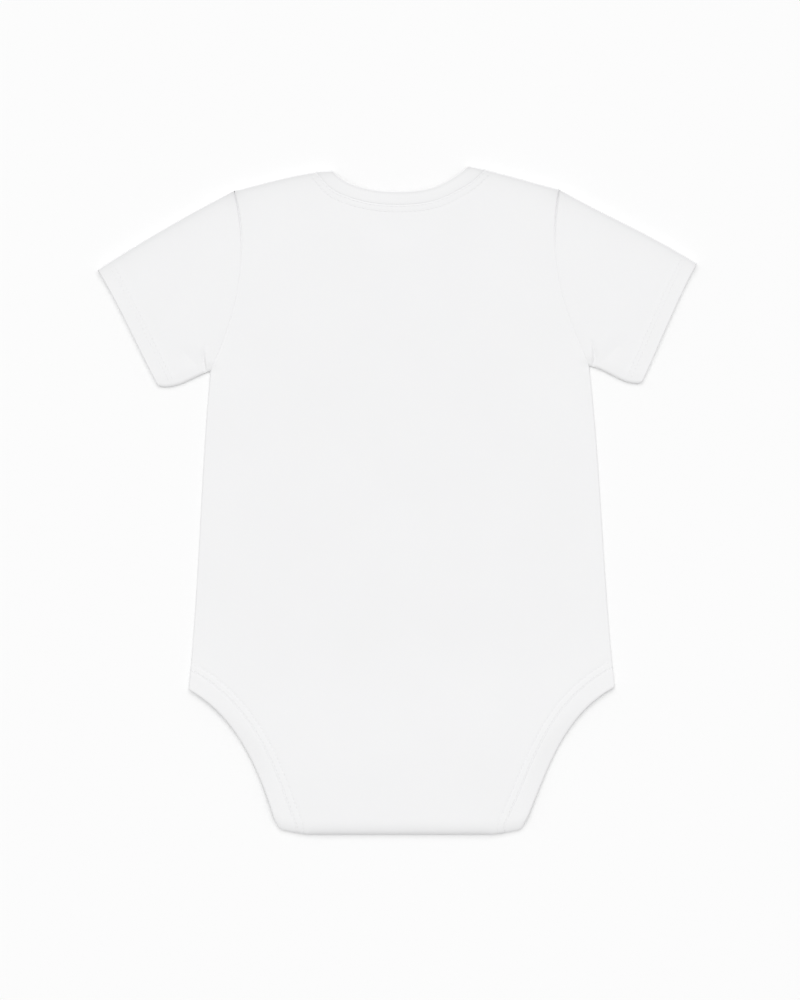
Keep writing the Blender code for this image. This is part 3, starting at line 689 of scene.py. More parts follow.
def risen(roll, gap):
    """How much of its height the cloth has gained at a distance from a closed edge."""
    return roll.share * rounded(gap / roll.round) + (1.0 - roll.share) * ease(gap / roll.rest)


def roll_off(spots):
    """How far each spot has risen from the seam at the closed edges, and the puff beside them."""
    share = np.ones(len(spots))
    puff = np.zeros(len(spots))
    for name, roll in ROLLS.items():
        gap = distance_to(CLOSED[name], spots)
        share *= risen(roll, gap)
        past = np.maximum(gap - roll.round, 0.0)
        lift = roll.puff * np.exp(-past / PUFF_REACH) + roll.rim * np.exp(-past / RIM_REACH)
        puff += lift * ease(gap / roll.round)
    return share, puff


def equator(spots):
    """The height at which the upper and the lower cloth meet: higher by the folds than by the seams."""
    high = distance_to(FOLDS, spots)
    low = distance_to(SEWN, spots)
    return FOLD_HEIGHT + (SEAM_HEIGHT - FOLD_HEIGHT) * high / (high + low)


def armhole_relief(spots, on_sleeve):
    """The groove along the armhole seams, and the ridge on the sleeve's side of them."""
    relief = np.zeros(len(spots))
    for line in ARMHOLES.values():
        gap, share = nearest(line, spots)
        top, low = ARMHOLE_GROOVE
        deep = top + (low - top) * ease(share / ARMHOLE_GROOVE_FADES)
        relief -= deep * np.exp(-((gap / ARMHOLE_GROOVE_WIDTH) ** 2))
        if on_sleeve:
            start, end = ARMHOLE_RIDGE_END
            ridge = ease(gap / ARMHOLE_RIDGE_START) - ease((gap - start) / (end - start))
            relief += ARMHOLE_RIDGE * ridge * (1.0 - ARMHOLE_RIDGE_LOSS * ease(share / ARMHOLE_RIDGE_FADES))
    return relief


def band_seam_relief(seams, spots):
    """The turned edge, the ridge and the stitch groove beside the seam of a band."""
    relief = np.zeros(len(spots))
    start, end = RIDGE_END
    for name, lines in seams.items():
        gap = distance_to(lines, spots)
        relief += RIDGE * (ease(gap / RIDGE_START) - ease((gap - start) / (end - start)))
        relief -= TURN_DEPTH * (1.0 - rounded(gap / TURN_DOWN))
        relief -= STITCH_GROOVE[name] * np.exp(-(((gap - STITCH_ROWS[1]) / STITCH_GROOVE_WIDTH) ** 2))
    return relief


def upper_height(spots, share, puff, lift=0.0):
    """The height of the upper cloth, given how far it has risen from the seam and what lifts it."""
    height = back_under(spots) + FACE_RISE + puff + uneven(spots) - creased(spots) + lift
    middle = equator(spots)
    return middle + (height - middle) * share


def lower_height(spots, share, low):
    """The height of the lower cloth and how far it has dropped: softly below folds, fast below seams."""
    share = np.maximum(share, rounded(low / SEAM_UNDER_ROUND))
    share = np.minimum(share, rounded(distance_to(FOLDS, spots) / FOLD_UNDER_ROUND))
    middle = equator(spots)
    return middle + (FLOOR_GAP + CREASE_BELOW * creased(spots) - middle) * share, share


def top_face(spots):
    """The height of the garment's upper face, without the relief of its seams."""
    return upper_height(spots, *roll_off(spots))


def bottom_face(spots):
    """The height of the garment's lower face, without the relief of its seams."""
    return lower_height(spots, roll_off(spots)[0], distance_to(SEWN, spots))[0]


def round_the_crotch(spots, height):
    """Lays the back's flat cloth down the back, round the crotch fold and up under it.

    It gives the points of the outer face and the directions out of it.
    """
    line = crotch_start(spots[:, 0])
    past = line - spots[:, 1]
    tall = height(np.column_stack((spots[:, 0], np.maximum(spots[:, 1], line))))
    bottom = crotch_bottom(spots[:, 0])
    quarter = np.linspace(0.0, math.pi / 2, len(ANGLES_ABOVE))
    above = np.interp(past, ANGLES_ABOVE, quarter)
    below = np.interp(past - ANGLES_ABOVE[-1], ANGLES_BELOW, quarter)
    beyond = np.maximum(past - FOLD_ARC, 0.0)
    rise = tall - FOLD_CENTRE
    drop = FOLD_CENTRE - FOLD_BOTTOM
    on_top = past <= ANGLES_ABOVE[-1]
    y = np.where(
        on_top,
        line - FOLD_REACH * np.sin(above),
        bottom + FOLD_TUCK * (1.0 - np.cos(below)) + beyond,
    )
    z = np.where(on_top, FOLD_CENTRE + rise * np.cos(above), FOLD_CENTRE - drop * np.sin(below))
    z += (FLAP_UNDER - FOLD_BOTTOM - FLAP_DROP * side_drop(spots[:, 0])) * ease(beyond / FLAP_RAMP)
    out_y = np.where(on_top, -np.sin(above) * rise, -np.cos(below) * drop)
    out_z = np.where(on_top, np.cos(above) * FOLD_REACH, -np.sin(below) * FOLD_TUCK)
    length = np.hypot(out_y, out_z)
    flat = past <= 0.0
    points = np.column_stack((spots[:, 0], np.where(flat, spots[:, 1], y), np.where(flat, tall, z)))
    out = np.column_stack((np.zeros(len(spots)), out_y / length, out_z / length))
    out[flat] = (0.0, 0.0, 1.0)
    return points, out


def off_floor(points):
    """Presses flat on the floor what would lie below it."""
    points[..., 2] = np.maximum(points[..., 2], PRESSED)
    return points


def back_face(spots):
    """The points of the back panel's outer face."""
    points, out = round_the_crotch(spots, top_face)
    relief = band_seam_relief(BACK_SEAMS, spots) + armhole_relief(spots, False)
    return off_floor(points + out * relief[:, None])


# The middles of the three snaps, seen from above
SNAP_PLACES = [np.array((CROTCH_CENTRE + step * SNAP_SPACING, SNAP_ROW)) for step in (-1, 0, 1)]


def on_the_flap(place):
    """The spot of the back's flat cloth that lies at a place under the fold."""
    bottom = float(crotch_bottom(place[0])) + FOLD_TUCK
    return np.array((place[0], float(crotch_start(place[0])) - FOLD_ARC - (place[1] - bottom)))


def front_face(spots):
    """The points of the front panel's outer face, which lies on the floor."""
    height = bottom_face(spots)
    for place in SNAP_PLACES:
        gap = np.linalg.norm(spots - place, axis=1)
        height += SNAP_LIFT * (1.0 - ease((gap - SNAP_LIFT_TOP) / SNAP_LIFT_RAMP))
    height -= HIDDEN_RELIEF * np.minimum(band_seam_relief(FRONT_SEAMS, spots), 0.0)
    height -= HIDDEN_RELIEF * armhole_relief(spots, False)
    return np.column_stack((spots, height))


# ---- Flat cloth cut to an outline ----


def half_lines(side, neck, leg):
    """The lines round one half of a panel, clockwise from the centre of the neck, each with its rows."""
    neck_free, neck_seam = neck
    leg_free, leg_seam = leg
    shoulder = edge(side, "shoulder")
    down = edge(side, "side")
    neck_line = spaced(beside(neck_seam, neck_free), ALONG_STEP)
    leg_line = spaced(beside(leg_seam, leg_free), ALONG_STEP)
    shoulder_start = foot_on(shoulder, neck_line[-1])
    side_end = foot_on(down, leg_line[0])
    shoulder = shoulder[shoulder[:, 0] > shoulder_start[0] + ALONG_STEP / 2]
    down = down[down[:, 1] > side_end[1] + ALONG_STEP / 2]
    rim = spaced(np.vstack(([shoulder_start], shoulder)), ALONG_STEP)
    flank = spaced(np.vstack((down, [side_end])), ALONG_STEP)
    armhole = spaced(inset(edge(side, "armhole"), SEAM_GAP), ALONG_STEP)
    armhole = armhole[1:-1]
    return (
        (neck_line, BAND_SEAM_ROWS),
        (round_over(shoulder_start, neck_line[-1])[::-1], ()),
        (rim, ROUND_ROWS),
        (armhole, ARMHOLE_ROWS),
        (flank, ROUND_ROWS),
        (round_over(side_end, leg_line[0]), ()),
        (leg_line, BAND_SEAM_ROWS),
    )


def foot_on(line, spot):
    """The point of a line that is nearest to a spot."""
    return at_shares(line, nearest(line, spot[None])[1])[0]


def round_over(closed_end, seam_end):
    """Points from a closed edge to the end of a band's seam, close together where the cloth is steep."""
    way = unit(seam_end - closed_end)
    return closed_end + np.outer(np.array(ROUND_OVER) * MM, way)


def beside(seam, free):
    """The edge of a panel, a hair away from the sewn edge of its band."""
    return seam + unit_rows(seam - free) * SEAM_GAP


def cut_panel(neck_name, leg_name, step, holes):
    """Cuts a panel's flat cloth into triangles, with rows of points along its edges and seams."""
    outline_halves = {}
    lines = []
    for side in SIDES:
        neck = neck_lines(side, neck_name)
        leg = whole_back_leg(side) if leg_name == "back leg" else leg_lines(side, leg_name)
        parts = half_lines(side, neck, leg)
        outline_halves[side] = to_table(side, np.concatenate([part[0] for part in parts]))
        lines += [(side, line, rows) for line, rows in parts]
    right = outline_halves["right"]
    left = outline_halves["left"][::-1]
    end = spaced(np.array((right[-1], left[0])), step)[1:-1]
    outline = np.concatenate((right, end, left[:-1]))
    rows = [np.empty((0, 2))]
    for side, line, distances in lines:
        others = [to_table(s, other) for s, other, _ in lines if other is not line and len(other) > 1]
        for distance in distances:
            row = to_table(side, inset(line, distance * MM))
            clear = distance_to(others, row)
            rows.append(row[clear > distance * MM * ROW_CLEAR])
    near = np.concatenate(rows)
    near = near[is_inside(outline, near)]
    low = outline.min(axis=0)
    high = outline.max(axis=0)
    x, y = np.meshgrid(np.arange(low[0], high[0], step), np.arange(low[1], high[1], step))
    x[1::2] += step / 2
    grid = np.column_stack((x.ravel(), y.ravel()))
    grid = grid[is_inside(outline, grid)]
    grid = grid[distance_to([np.vstack((outline, outline[:1]))], grid) > step * GRID_FROM_EDGE]
    for side, line, distances in lines:
        gap = nearest(to_table(side, line), grid)[0]
        grid = grid[gap > max(distances, default=0.0) * MM + step * GRID_FROM_ROWS]
    inner = np.concatenate((near, grid))
    if holes:
        rings = [ring(place, SNAP_HOLE * size, HOLE_SIDES) for size in HOLE_RINGS for place in holes]
        clear = np.min([np.linalg.norm(inner - place, axis=1) for place in holes], axis=0)
        inner = np.concatenate([inner[clear > SNAP_HOLE * HOLE_CLEAR]] + rings)
    return triangulated(outline, inner, holes)


def ring(centre, radius, sides):
    """Points round a circle."""
    turn = np.arange(sides) * math.tau / sides
    return centre + radius * np.column_stack((np.cos(turn), np.sin(turn)))


def triangulated(outline, inner, holes):
    """Triangles of a flat piece: its outline, the points inside it and its round holes."""
    loops = [outline] + [ring(centre, SNAP_HOLE, HOLE_SIDES) for centre in holes]
    spots = np.concatenate(loops + [inner])
    faces = [list(range(len(outline)))]
    edges = []
    start = len(outline)
    for loop in loops[1:]:
        edges += [(start + step, start + (step + 1) % len(loop)) for step in range(len(loop))]
        start += len(loop)
    found = delaunay_2d_cdt([Vector(spot) for spot in spots], edges, faces, 1, SAME_SPOT)
    flat = np.array([tuple(spot) for spot in found[0]])
    triangles = np.array(found[2])
    middles = flat[triangles].mean(axis=1)
    keep = np.ones(len(triangles), dtype=bool)
    for centre in holes:
        keep &= np.linalg.norm(middles - centre, axis=1) > SNAP_HOLE * HOLE_INSIDE
    return flat, triangles[keep]


# ---- Meshes ----


def lay_mesh(name, points, faces, flat):
    """A mesh whose UV map is the flat cloth, in metres."""
    mesh = bpy.data.meshes.new(name)
    mesh.from_pydata(points.reshape(-1, 3).tolist(), [], [list(map(int, face)) for face in faces])
    layer = mesh.uv_layers.new(name="Flat cloth")
    corners = np.zeros(len(mesh.loops), dtype=np.int32)
    mesh.loops.foreach_get("vertex_index", corners)
    layer.data.foreach_set("uv", flat.reshape(-1, 2)[corners].astype(np.float32).ravel())
    mesh.shade_smooth()
    mesh.update()
    return mesh


def closed_mesh(name, points, faces, flat):
    """A closed mesh whose faces all face out of it."""
    mesh = lay_mesh(name, points, faces, flat)
    work = bmesh.new()
    work.from_mesh(mesh)
    bmesh.ops.recalc_face_normals(work, faces=work.faces)
    work.to_mesh(mesh)
    work.free()
    return mesh


def add_piece(name, mesh, material, slot, *nodes):
    """A piece of the garment: it rides on the only body and takes the place of the given solids."""
    piece = bpy.data.objects.new(name, mesh)
    bpy.context.scene.collection.objects.link(piece)
    mesh.materials.append(material)
    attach(piece, "root")
    if nodes:
        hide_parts(*nodes)
    return piece


def thicken(piece, wall, pinched):
    """Gives a sheet its thickness, inward from its outer face, and thinner where it is pinched."""
    group = piece.vertex_groups.new(name="Wall")
    for index, share in enumerate(pinched):
        group.add([index], float(share), "REPLACE")
    modifier = piece.modifiers.new("Wall", "SOLIDIFY")
    modifier.thickness = wall
    modifier.offset = -1.0
    modifier.vertex_group = group.name
    modifier.thickness_vertex_group = LEAST_WALL


def pinch(gap):
    """How much of its thickness cloth has at a distance from its sewn edge."""
    return PINCHED + (1.0 - PINCHED) * ease(gap / PINCH_REACH)


def grid_faces(rows, columns):
    """The faces of a grid of points, row after row."""
    here = np.arange(rows - 1)[:, None] * columns + np.arange(columns - 1)
    return np.stack((here, here + 1, here + columns + 1, here + columns), axis=-1).reshape(-1, 4)


def tube_faces(rows, around, in_a_ring=False):
    """The faces of a tube, row after row: joined into a ring, or else with a face at each end."""
    here = np.arange(rows if in_a_ring else rows - 1)[:, None] * around
    there = (here + around) % (rows * around)
    place = np.arange(around)
    ahead = (place + 1) % around
    faces = np.stack((here + place, here + ahead, there + ahead, there + place), axis=-1)
    faces = faces.reshape(-1, 4).tolist()
    if not in_a_ring:
        faces += [place[::-1].tolist(), (place + (rows - 1) * around).tolist()]
    return faces


def from_seams(seams, spots):
    """How far each spot of a panel is from its bands and its sleeves."""
    return distance_to([*seams["neck"], *seams["leg"], *ARMHOLES.values()], spots)


def lay_jersey(node, label, points, faces, flat, gap, cloth):
    """A piece of jersey in the place of a solid, given how far each of its points is from a seam."""
    mesh = lay_mesh(node + "_cloth", points, faces, flat)
    material = cloth_material(label, cloth.jersey_colour, cloth.wale, cloth.course)
    piece = add_piece(mesh.name, mesh, material, "jersey", node)
    thicken(piece, cloth.jersey, pinch(gap))
    return piece


# ---- Sleeves ----


def crowded(length, step, first, last):
    """Shares of a length with some distances near each end, and even steps between them."""
    first = np.array(first) * MM
    last = np.array(last) * MM
    middle = np.linspace(first[-1], length - last[-1], round((length - first[-1] - last[-1]) / step) + 1)
    return np.concatenate(([0.0], first, middle[1:-1], length - last[::-1], [1.0 * length])) / length


def sleeve_patch(side):
    """A sleeve seen from above: rows from armhole to hem edge, each from its top fold to its seam."""
    cuff = inset(edge(side, "cuff"), HEM_ROUND)
    armhole = inset(edge(side, "armhole"), -SEAM_GAP)
    top = edge(side, "sleeve top")
    under = edge(side, "sleeve under")[::-1]
    out = crowded(SLEEVE_LENGTH, SLEEVE_STEP, UNDERARM_ROWS, END_ROWS)
    down = crowded(SLEEVE_WIDTH, SLEEVE_STEP, SLEEVE_ROUND_ROWS, UNDERARM_COLUMNS)
    armhole = at_shares(armhole, down)
    cuff = at_shares(cuff, down)
    top = at_shares(top, out)
    under = at_shares(under, out)
    top += np.outer(1.0 - out, armhole[0] - top[0]) + np.outer(out, cuff[0] - top[-1])
    under += np.outer(1.0 - out, armhole[-1] - under[0]) + np.outer(out, cuff[-1] - under[-1])
    ends = (1.0 - out)[:, None, None] * armhole + out[:, None, None] * cuff
    lanes = (1.0 - down)[None, :, None] * top[:, None] + down[None, :, None] * under[:, None]
    corners = (1.0 - out)[:, None, None] * (np.outer(1.0 - down, top[0]) + np.outer(down, under[0]))
    corners = corners + out[:, None, None] * (np.outer(1.0 - down, top[-1]) + np.outer(down, under[-1]))
    return ends + lanes - corners


def face_normals(grid):
    """Directions out of the face of a grid of points."""
    along = np.gradient(grid, axis=0)
    across = np.gradient(grid, axis=1)
    out = np.cross(across, along)
    return out / np.maximum(np.linalg.norm(out, axis=2), TINY)[:, :, None]


def hem_lift(side, spots):
    """How much the folded hem lifts the sleeve's upper face, and how much its weight presses it down."""
    cuff = spaced(to_table(side, edge(side, "cuff")), CUFF_STEP)
    gap = nearest(cuff, spots)[0]
    lift = HEM_LIFT * (1.0 - ease((gap - HEM_DEPTH + HEM_STEP / 2) / HEM_STEP))
    return lift - HEM_SAG * (1.0 - ease(gap / HEM_SAG_REACH))


def sleeve_points(side):
    """The outer face of a sleeve: rows from armhole to hem, each from the seam up, over and under."""
    patch = to_table(side, sleeve_patch(side))
    spots = patch.reshape(-1, 2)
    relief = armhole_relief(spots, True)
    own = ease(nearest(ARMHOLES[side], spots)[0] / SLEEVE_JOIN)
    gap = nearest(patch[:, -1], spots)[0]
    low = distance_to(SEWN, spots)
    low += (gap - low) * own
    top_gap = nearest(CLOSED["sleeve top"][SIDES.index(side)], spots)[0]
    share, puff = roll_off(spots)
    share += (risen(ROLLS["sleeve top"], top_gap) * risen(ROLLS["sleeve under"], gap) - share) * own
    upper = upper_height(spots, share, puff, hem_lift(side, spots)) + relief * share
    lower, share = lower_height(spots, share, low)
    lower -= HIDDEN_RELIEF * np.minimum(relief, 0.0) * share
    part = SEAM_GAP * (1.0 - ease(gap / SEAM_GAP_REACH))
    upper = np.column_stack((spots, upper + part)).reshape(*patch.shape[:2], 3)
    lower = np.column_stack((spots, lower - part)).reshape(*patch.shape[:2], 3)
    return np.concatenate((upper[:, ::-1], lower[:, 1:]), axis=1), patch


def turn_hem(side, face, inside_rows):
    """Adds the folded hem: the cloth turns in at the hem edge and runs back inside."""
    out = face_normals(face) * -SIGN[side]
    straight = np.zeros_like(out)
    straight[:, :, 2] = np.where(np.arange(face.shape[1]) < face.shape[1] // 2, 1.0, -1.0)
    out = np.where((out * straight)[:, :, 2:] < 0.0, straight, out)
    under_gap = nearest(face[:, 0, :2], face.reshape(-1, 3)[:, :2])[0]
    opens = HEM_AT_SEAM + (1.0 - HEM_AT_SEAM) * ease(under_gap / HEM_CLOSES)
    round_by = HEM_ROUND * opens.reshape(*face.shape[:2], 1)
    ahead = unit_rows((face[-1] - face[-3]) * (1.0, 1.0, 0.0))
    rows = [face]
    for angle in np.linspace(0.0, math.pi, HEM_TURN_ROWS + 1)[1:]:
        turned = ahead * math.sin(angle) - out[-1] * (1.0 - math.cos(angle))
        rows.append((face[-1] + turned * round_by[-1])[None])
    rows += [(face[row] - out[row] * 2.0 * round_by[row])[None] for row in inside_rows]
    return off_floor(np.concatenate(rows))


# ---- Bands ----


def band_section(rib):
    """A band's cross-section: share of its width from the free edge, and depth below its outer face.

    It runs from the sewn edge over the outer face to the free edge and back on the inner side.
    """
    sewn = [(1.0, rib.thickness * SEWN_DEPTH), (1.0, BAND_STEP * 2), (SEWN_TURN, BAND_STEP)]
    lip_end = rib.round / rib.width
    inner_end = lip_end + BY_LIP
    by_lip = np.linspace(inner_end, lip_end, LIP_ROWS)[1:-1]
    across = np.concatenate((BY_SEAM, np.linspace(FACE_START, inner_end, FACE_ROWS), by_lip))
    step = BAND_STEP * (1.0 - ease((1.0 - across) * rib.width / BAND_STEP_REACH))
    bead = rib.bead * (1.0 - ease((across * rib.width - rib.round) / BAND_BEAD_REACH))
    half = (rib.thickness + rib.bead) / 2
    angle = np.linspace(0.0, math.pi, ROUND_LIP_ROWS)
    lip = np.column_stack((lip_end * (1.0 - np.sin(angle)), half - half * np.cos(angle) - rib.bead))
    inner = [(share, rib.thickness) for share in np.linspace(lip_end + INNER_START, INNER_END, FACE_ROWS)]
    return np.vstack((sewn, np.column_stack((across, step - bead)), lip, inner))


def finish_band(rows, out, in_a_ring, rib):
    """Sweeps the section along rows of points that lie across the band, with ribs on its outer side.

    Each row holds points from the free edge to the sewn edge, and out holds their outward directions.
    """
    section = band_section(rib)
    last = BAND_COLUMNS - 1
    middle = rows[:, BAND_COLUMNS // 2]
    reach = reaches(middle)
    pitch = RIB_PITCH
    if in_a_ring:
        whole = reach[-1] + np.linalg.norm(middle[-1] - middle[0])
        pitch = whole / round(whole / RIB_PITCH)
    ribs = RIB_RELIEF * np.cos(reach / pitch * math.tau)
    points = np.zeros((len(rows), len(section), 3))
    start, end = RIBS_FADE
    for place, (share, depth) in enumerate(section):
        low = min(int(share * last), last - 1)
        part = share * last - low
        base = rows[:, low] * (1 - part) + rows[:, low + 1] * part
        away = unit_rows(out[:, low] * (1 - part) + out[:, low + 1] * part)
        deep = depth / rib.thickness
        strength = -1.0
        if deep <= RIBS_INSIDE or share > BY_SEAM[0]:
            strength = 1.0 - np.clip((deep - start) / (end - start), 0.0, 1.0)
        points[:, place] = base - away * (depth - ribs * strength)[:, None]
    return off_floor(points), section, reach


def band_rows(side, free, seam, lay, rib):
    """Rows of points across a band, from its free edge to its sewn edge, with their directions out."""
    middle = reaches((free + seam) / 2)
    count = max(2, round(middle[-1] / (RIB_PITCH / ROWS_A_RIB)) + 1)
    at = np.linspace(0.0, middle[-1], count)
    free, seam = [to_table(side, at_reaches(line, middle, at)) for line in (free, seam)]
    shares = np.linspace(0.0, 1.0, BAND_COLUMNS)[:, None]
    spots = free[:, None] + (seam - free)[:, None] * shares
    points, out = lay(spots.reshape(-1, 2), rib)
    return points.reshape(count, BAND_COLUMNS, 3), out.reshape(count, BAND_COLUMNS, 3)


def on_top(spots, rib):
    """A band's outer face where it lies on top."""
    height = back_under(spots) + FACE_RISE / 2 + rib.thickness / 2 + BAND_LIFT + roll_off(spots)[1]
    return np.column_stack((spots, height)), np.tile((0.0, 0.0, 1.0), (len(spots), 1))


def on_floor(spots, rib):
    """A band's outer face where it lies on the floor."""
    height = np.full(len(spots), RIB_RELIEF + rib.bead + PRESSED)
    return np.column_stack((spots, height)), np.tile((0.0, 0.0, -1.0), (len(spots), 1))


def round_crotch_band(spots, rib):
    """A leg band's outer face from the back leg round the crotch fold to the flap."""
    return round_the_crotch(spots, lambda places: on_top(places, rib)[0][:, 2])


def over_edge(upper, lower_height, outward):
    """Rows where a band turns over a closed edge, below its upper row, with their directions out."""
    angle = (math.pi * np.arange(1, BAND_TURN_ROWS) / BAND_TURN_ROWS)[:, None]
    way = np.column_stack((outward, np.zeros(len(outward))))
    rows = upper + way * BAND_FOLD * np.sin(angle)[:, :, None]
    rows[:, :, 2] = (upper[:, 2] + lower_height) / 2 + (upper[:, 2] - lower_height) / 2 * np.cos(angle)
    out = unit_rows(way) * np.sin(angle)[:, :, None]
    out[:, :, 2] = np.cos(angle)
    return rows, out


def bulge(side, corner, free_end, into):
    """The way each point across a band swings out as it turns: to the corner at its free edge."""
    shares = np.linspace(0.0, 1.0, BAND_COLUMNS)[:, None]
    to_corner = (corner - free_end) / BAND_FOLD
    return to_table(side, to_corner * (1.0 - shares) - into * shares)


def over_fold(back, front, outward):
    """Rows along a band up to a fold, over it and away from it, with their directions out.

    The parts on the back and on the front both start at the fold.
    """
    turn = over_edge(back[0][0], front[0][0, 0, 2], outward)
    return [np.concatenate((first[::-1], middle, last)) for first, middle, last in zip(back, turn, front)]


def half_neck(side):
    """Half of the neck ring: from the nape, over the shoulder fold, to the throat."""
    free, seam = neck_lines(side, "back neck")
    shoulder = edge(side, "shoulder")
    outward = bulge(side, shoulder[0], free[-1], inward(shoulder)[0])
    back = band_rows(side, free, seam, on_top, RIBS["neck"])
    front = band_rows(side, *neck_lines(side, "front neck"), on_floor, RIBS["neck"])
    return over_fold([part[::-1] for part in back], [part[::-1] for part in front], outward)


def neck_ring():
    """Rows round the whole neck band and their directions out."""
    halves = zip(half_neck("right"), half_neck("left"))
    return [np.concatenate((right, left[::-1][1:-1])) for right, left in halves]


def leg_strip(side):
    """Rows along a leg band, from the flap's end up the back leg, round the hip and to the tab."""
    free, seam = whole_back_leg(side)
    down = edge(side, "side")
    outward = bulge(side, down[-1], free[0], inward(down)[-1])
    back = band_rows(side, free, seam, round_crotch_band, RIBS["leg"])
    front = band_rows(side, *leg_lines(side, "front leg"), on_floor, RIBS["leg"])
    return over_fold(back, front, outward)


def sew_rib(node, label, rows, out, in_a_ring, rib, cloth):
    """A band of rib in the place of a solid, and the band's length."""
    points, section, reach = finish_band(rows, out, in_a_ring, rib)
    flat = np.zeros((*points.shape[:2], 2))
    flat[:, :, 0] = reach[:, None]
    flat[:, :, 1] = section[:, 0] * rib.width + (section[:, 1] > rib.thickness / 2) * BAND_INSIDE_APART
    mesh = closed_mesh(node + "_rib", points, tube_faces(*points.shape[:2], in_a_ring), flat)
    material = cloth_material(label, cloth.rib_colour, cloth.wale, cloth.course, math.pi / 2)
    return add_piece(mesh.name, mesh, material, "rib", node), reach[-1]


# ---- Stitches ----


def stitch_row(path, out, sink):
    """The points of a row of stitches along a path of points, given the directions out."""
    turn = np.arange(THREAD_SIDES)[:, None] * math.tau / THREAD_SIDES
    reach = reaches(path)
    count = int((reach[-1] - STITCH) / STITCH_PITCH) + 1
    spare = (reach[-1] - (count - 1) * STITCH_PITCH - STITCH) / 2
    deep = (THREAD * (1.0 - sink) - STITCH_DIVE * THREAD * STITCH_DIVES)[:, None]
    size = (THREAD * STITCH_PLUMP)[:, None, None]
    stitches = []
    for number in range(count):
        at = number * STITCH_PITCH + spare + STITCH_SHARES * STITCH
        spine = at_reaches(path, reach, at)
        away = at_reaches(out, reach, at)
        aside = unit_rows(np.cross(away, unit(spine[-1] - spine[0])))
        circles = np.cos(turn) * aside[:, None] + np.sin(turn) * away[:, None]
        stitches.append((spine + away * deep)[:, None] + size * circles)
    return stitches


def stitching(name, rows, material, slot, sink=STITCHES_SUNK):
    """One piece that holds several rows of stitches."""
    stitches = np.concatenate([stitch_row(path, out, sink) for path, out in rows])
    points = off_floor(stitches.reshape(-1, 3))
    tube = tube_faces(len(STITCH_SHARES), THREAD_SIDES)
    starts = range(0, len(points), len(STITCH_SHARES) * THREAD_SIDES)
    faces = [[corner + start for corner in face] for start in starts for face in tube]
    return add_piece(name, closed_mesh(name, points, faces, points[:, :2]), material, slot)


# ---- Materials ----

# Where a noise reaches the darkest and the lightest tone
TONE_ENDS = (0.3, 0.7)

# Plain knitting: how steep the arms of its V-shaped stitches are, how much each row shows beside them,
# and how much the fuzz of the yarn adds
KNIT_SLANT = 1.6
KNIT_LOOPS = 0.35
FUZZ_SHARE = 0.5


class Nodes:
    """Lays out the nodes of one material."""

    def __init__(self, name):
        self.material = bpy.data.materials.new(name)
        self.material.use_nodes = True
        self.tree = self.material.node_tree
        self.shader = self.tree.nodes["Principled BSDF"]

    def add(self, kind, **values):
        """A node with some of its settings."""
        node = self.tree.nodes.new(kind)
        for name, value in values.items():
            setattr(node, name, value)
        return node

    def link(self, source, target):
        """Joins an output to an input."""
        self.tree.links.new(source, target)

    def sum(self, operation, first, second=None, third=None):
        """A math node of outputs or numbers."""
        node = self.add("ShaderNodeMath", operation=operation)
        for place, value in enumerate((first, second, third)):
            if value is None:
                continue
            if isinstance(value, (int, float)):
                node.inputs[place].default_value = value
            else:
                self.link(value, node.inputs[place])
        return node.outputs[0]

    def noise(self, source, scale, detail):
        """A soft noise."""
        node = self.add("ShaderNodeTexNoise")
        node.inputs["Scale"].default_value = scale
        node.inputs["Detail"].default_value = detail
        self.link(source, node.inputs["Vector"])
        return node.outputs["Fac"]

    def tone(self, source, colour, spread):
        """The base colour, a little lighter and darker as the noise goes."""
        ramp = self.add("ShaderNodeValToRGB")
        for element, place, change in zip(ramp.color_ramp.elements, TONE_ENDS, (-spread, spread)):
            element.position = place
            element.color = (*(min(1.0, part * (1.0 + change)) for part in colour), 1.0)
        self.link(source, ramp.inputs["Fac"])
        self.link(ramp.outputs["Color"], self.shader.inputs["Base Color"])

    def bump(self, height, strength, distance):
        """Relief too fine for the mesh."""
        node = self.add("ShaderNodeBump")
        node.inputs["Strength"].default_value = strength
        node.inputs["Distance"].default_value = distance
        self.link(height, node.inputs["Height"])
        self.link(node.outputs["Normal"], self.shader.inputs["Normal"])

    def gloss(self, roughness, sheen, sheen_roughness, specular):
        """How the surface shines."""
        names = ("Roughness", "Sheen Weight", "Sheen Roughness", "Specular IOR Level")
        for name, value in zip(names, (roughness, sheen, sheen_roughness, specular)):
            self.shader.inputs[name].default_value = value


def knit_height(nodes, wale, course, turn):
    """The relief of plain knitting: columns of V-shaped stitches, worked out from the flat cloth."""
    place = nodes.add("ShaderNodeTexCoord").outputs["UV"]
    turned = nodes.add("ShaderNodeMapping")
    turned.inputs["Rotation"].default_value = (0.0, 0.0, turn)
    nodes.link(place, turned.inputs["Vector"])
    split = nodes.add("ShaderNodeSeparateXYZ")
    nodes.link(turned.outputs["Vector"], split.inputs["Vector"])
    column = nodes.sum("FRACT", nodes.sum("DIVIDE", split.outputs["X"], wale))
    aside = nodes.sum("ABSOLUTE", nodes.sum("SUBTRACT", column, 0.5))
    row = nodes.sum("DIVIDE", split.outputs["Y"], course)
    slant = nodes.sum("ADD", row, nodes.sum("MULTIPLY", aside, KNIT_SLANT))
    loops = nodes.sum("SINE", nodes.sum("MULTIPLY", slant, math.tau))
    strands = nodes.sum("SINE", nodes.sum("MULTIPLY", aside, math.tau))
    relief = nodes.sum("MULTIPLY_ADD", loops, KNIT_LOOPS, strands)
    return place, relief


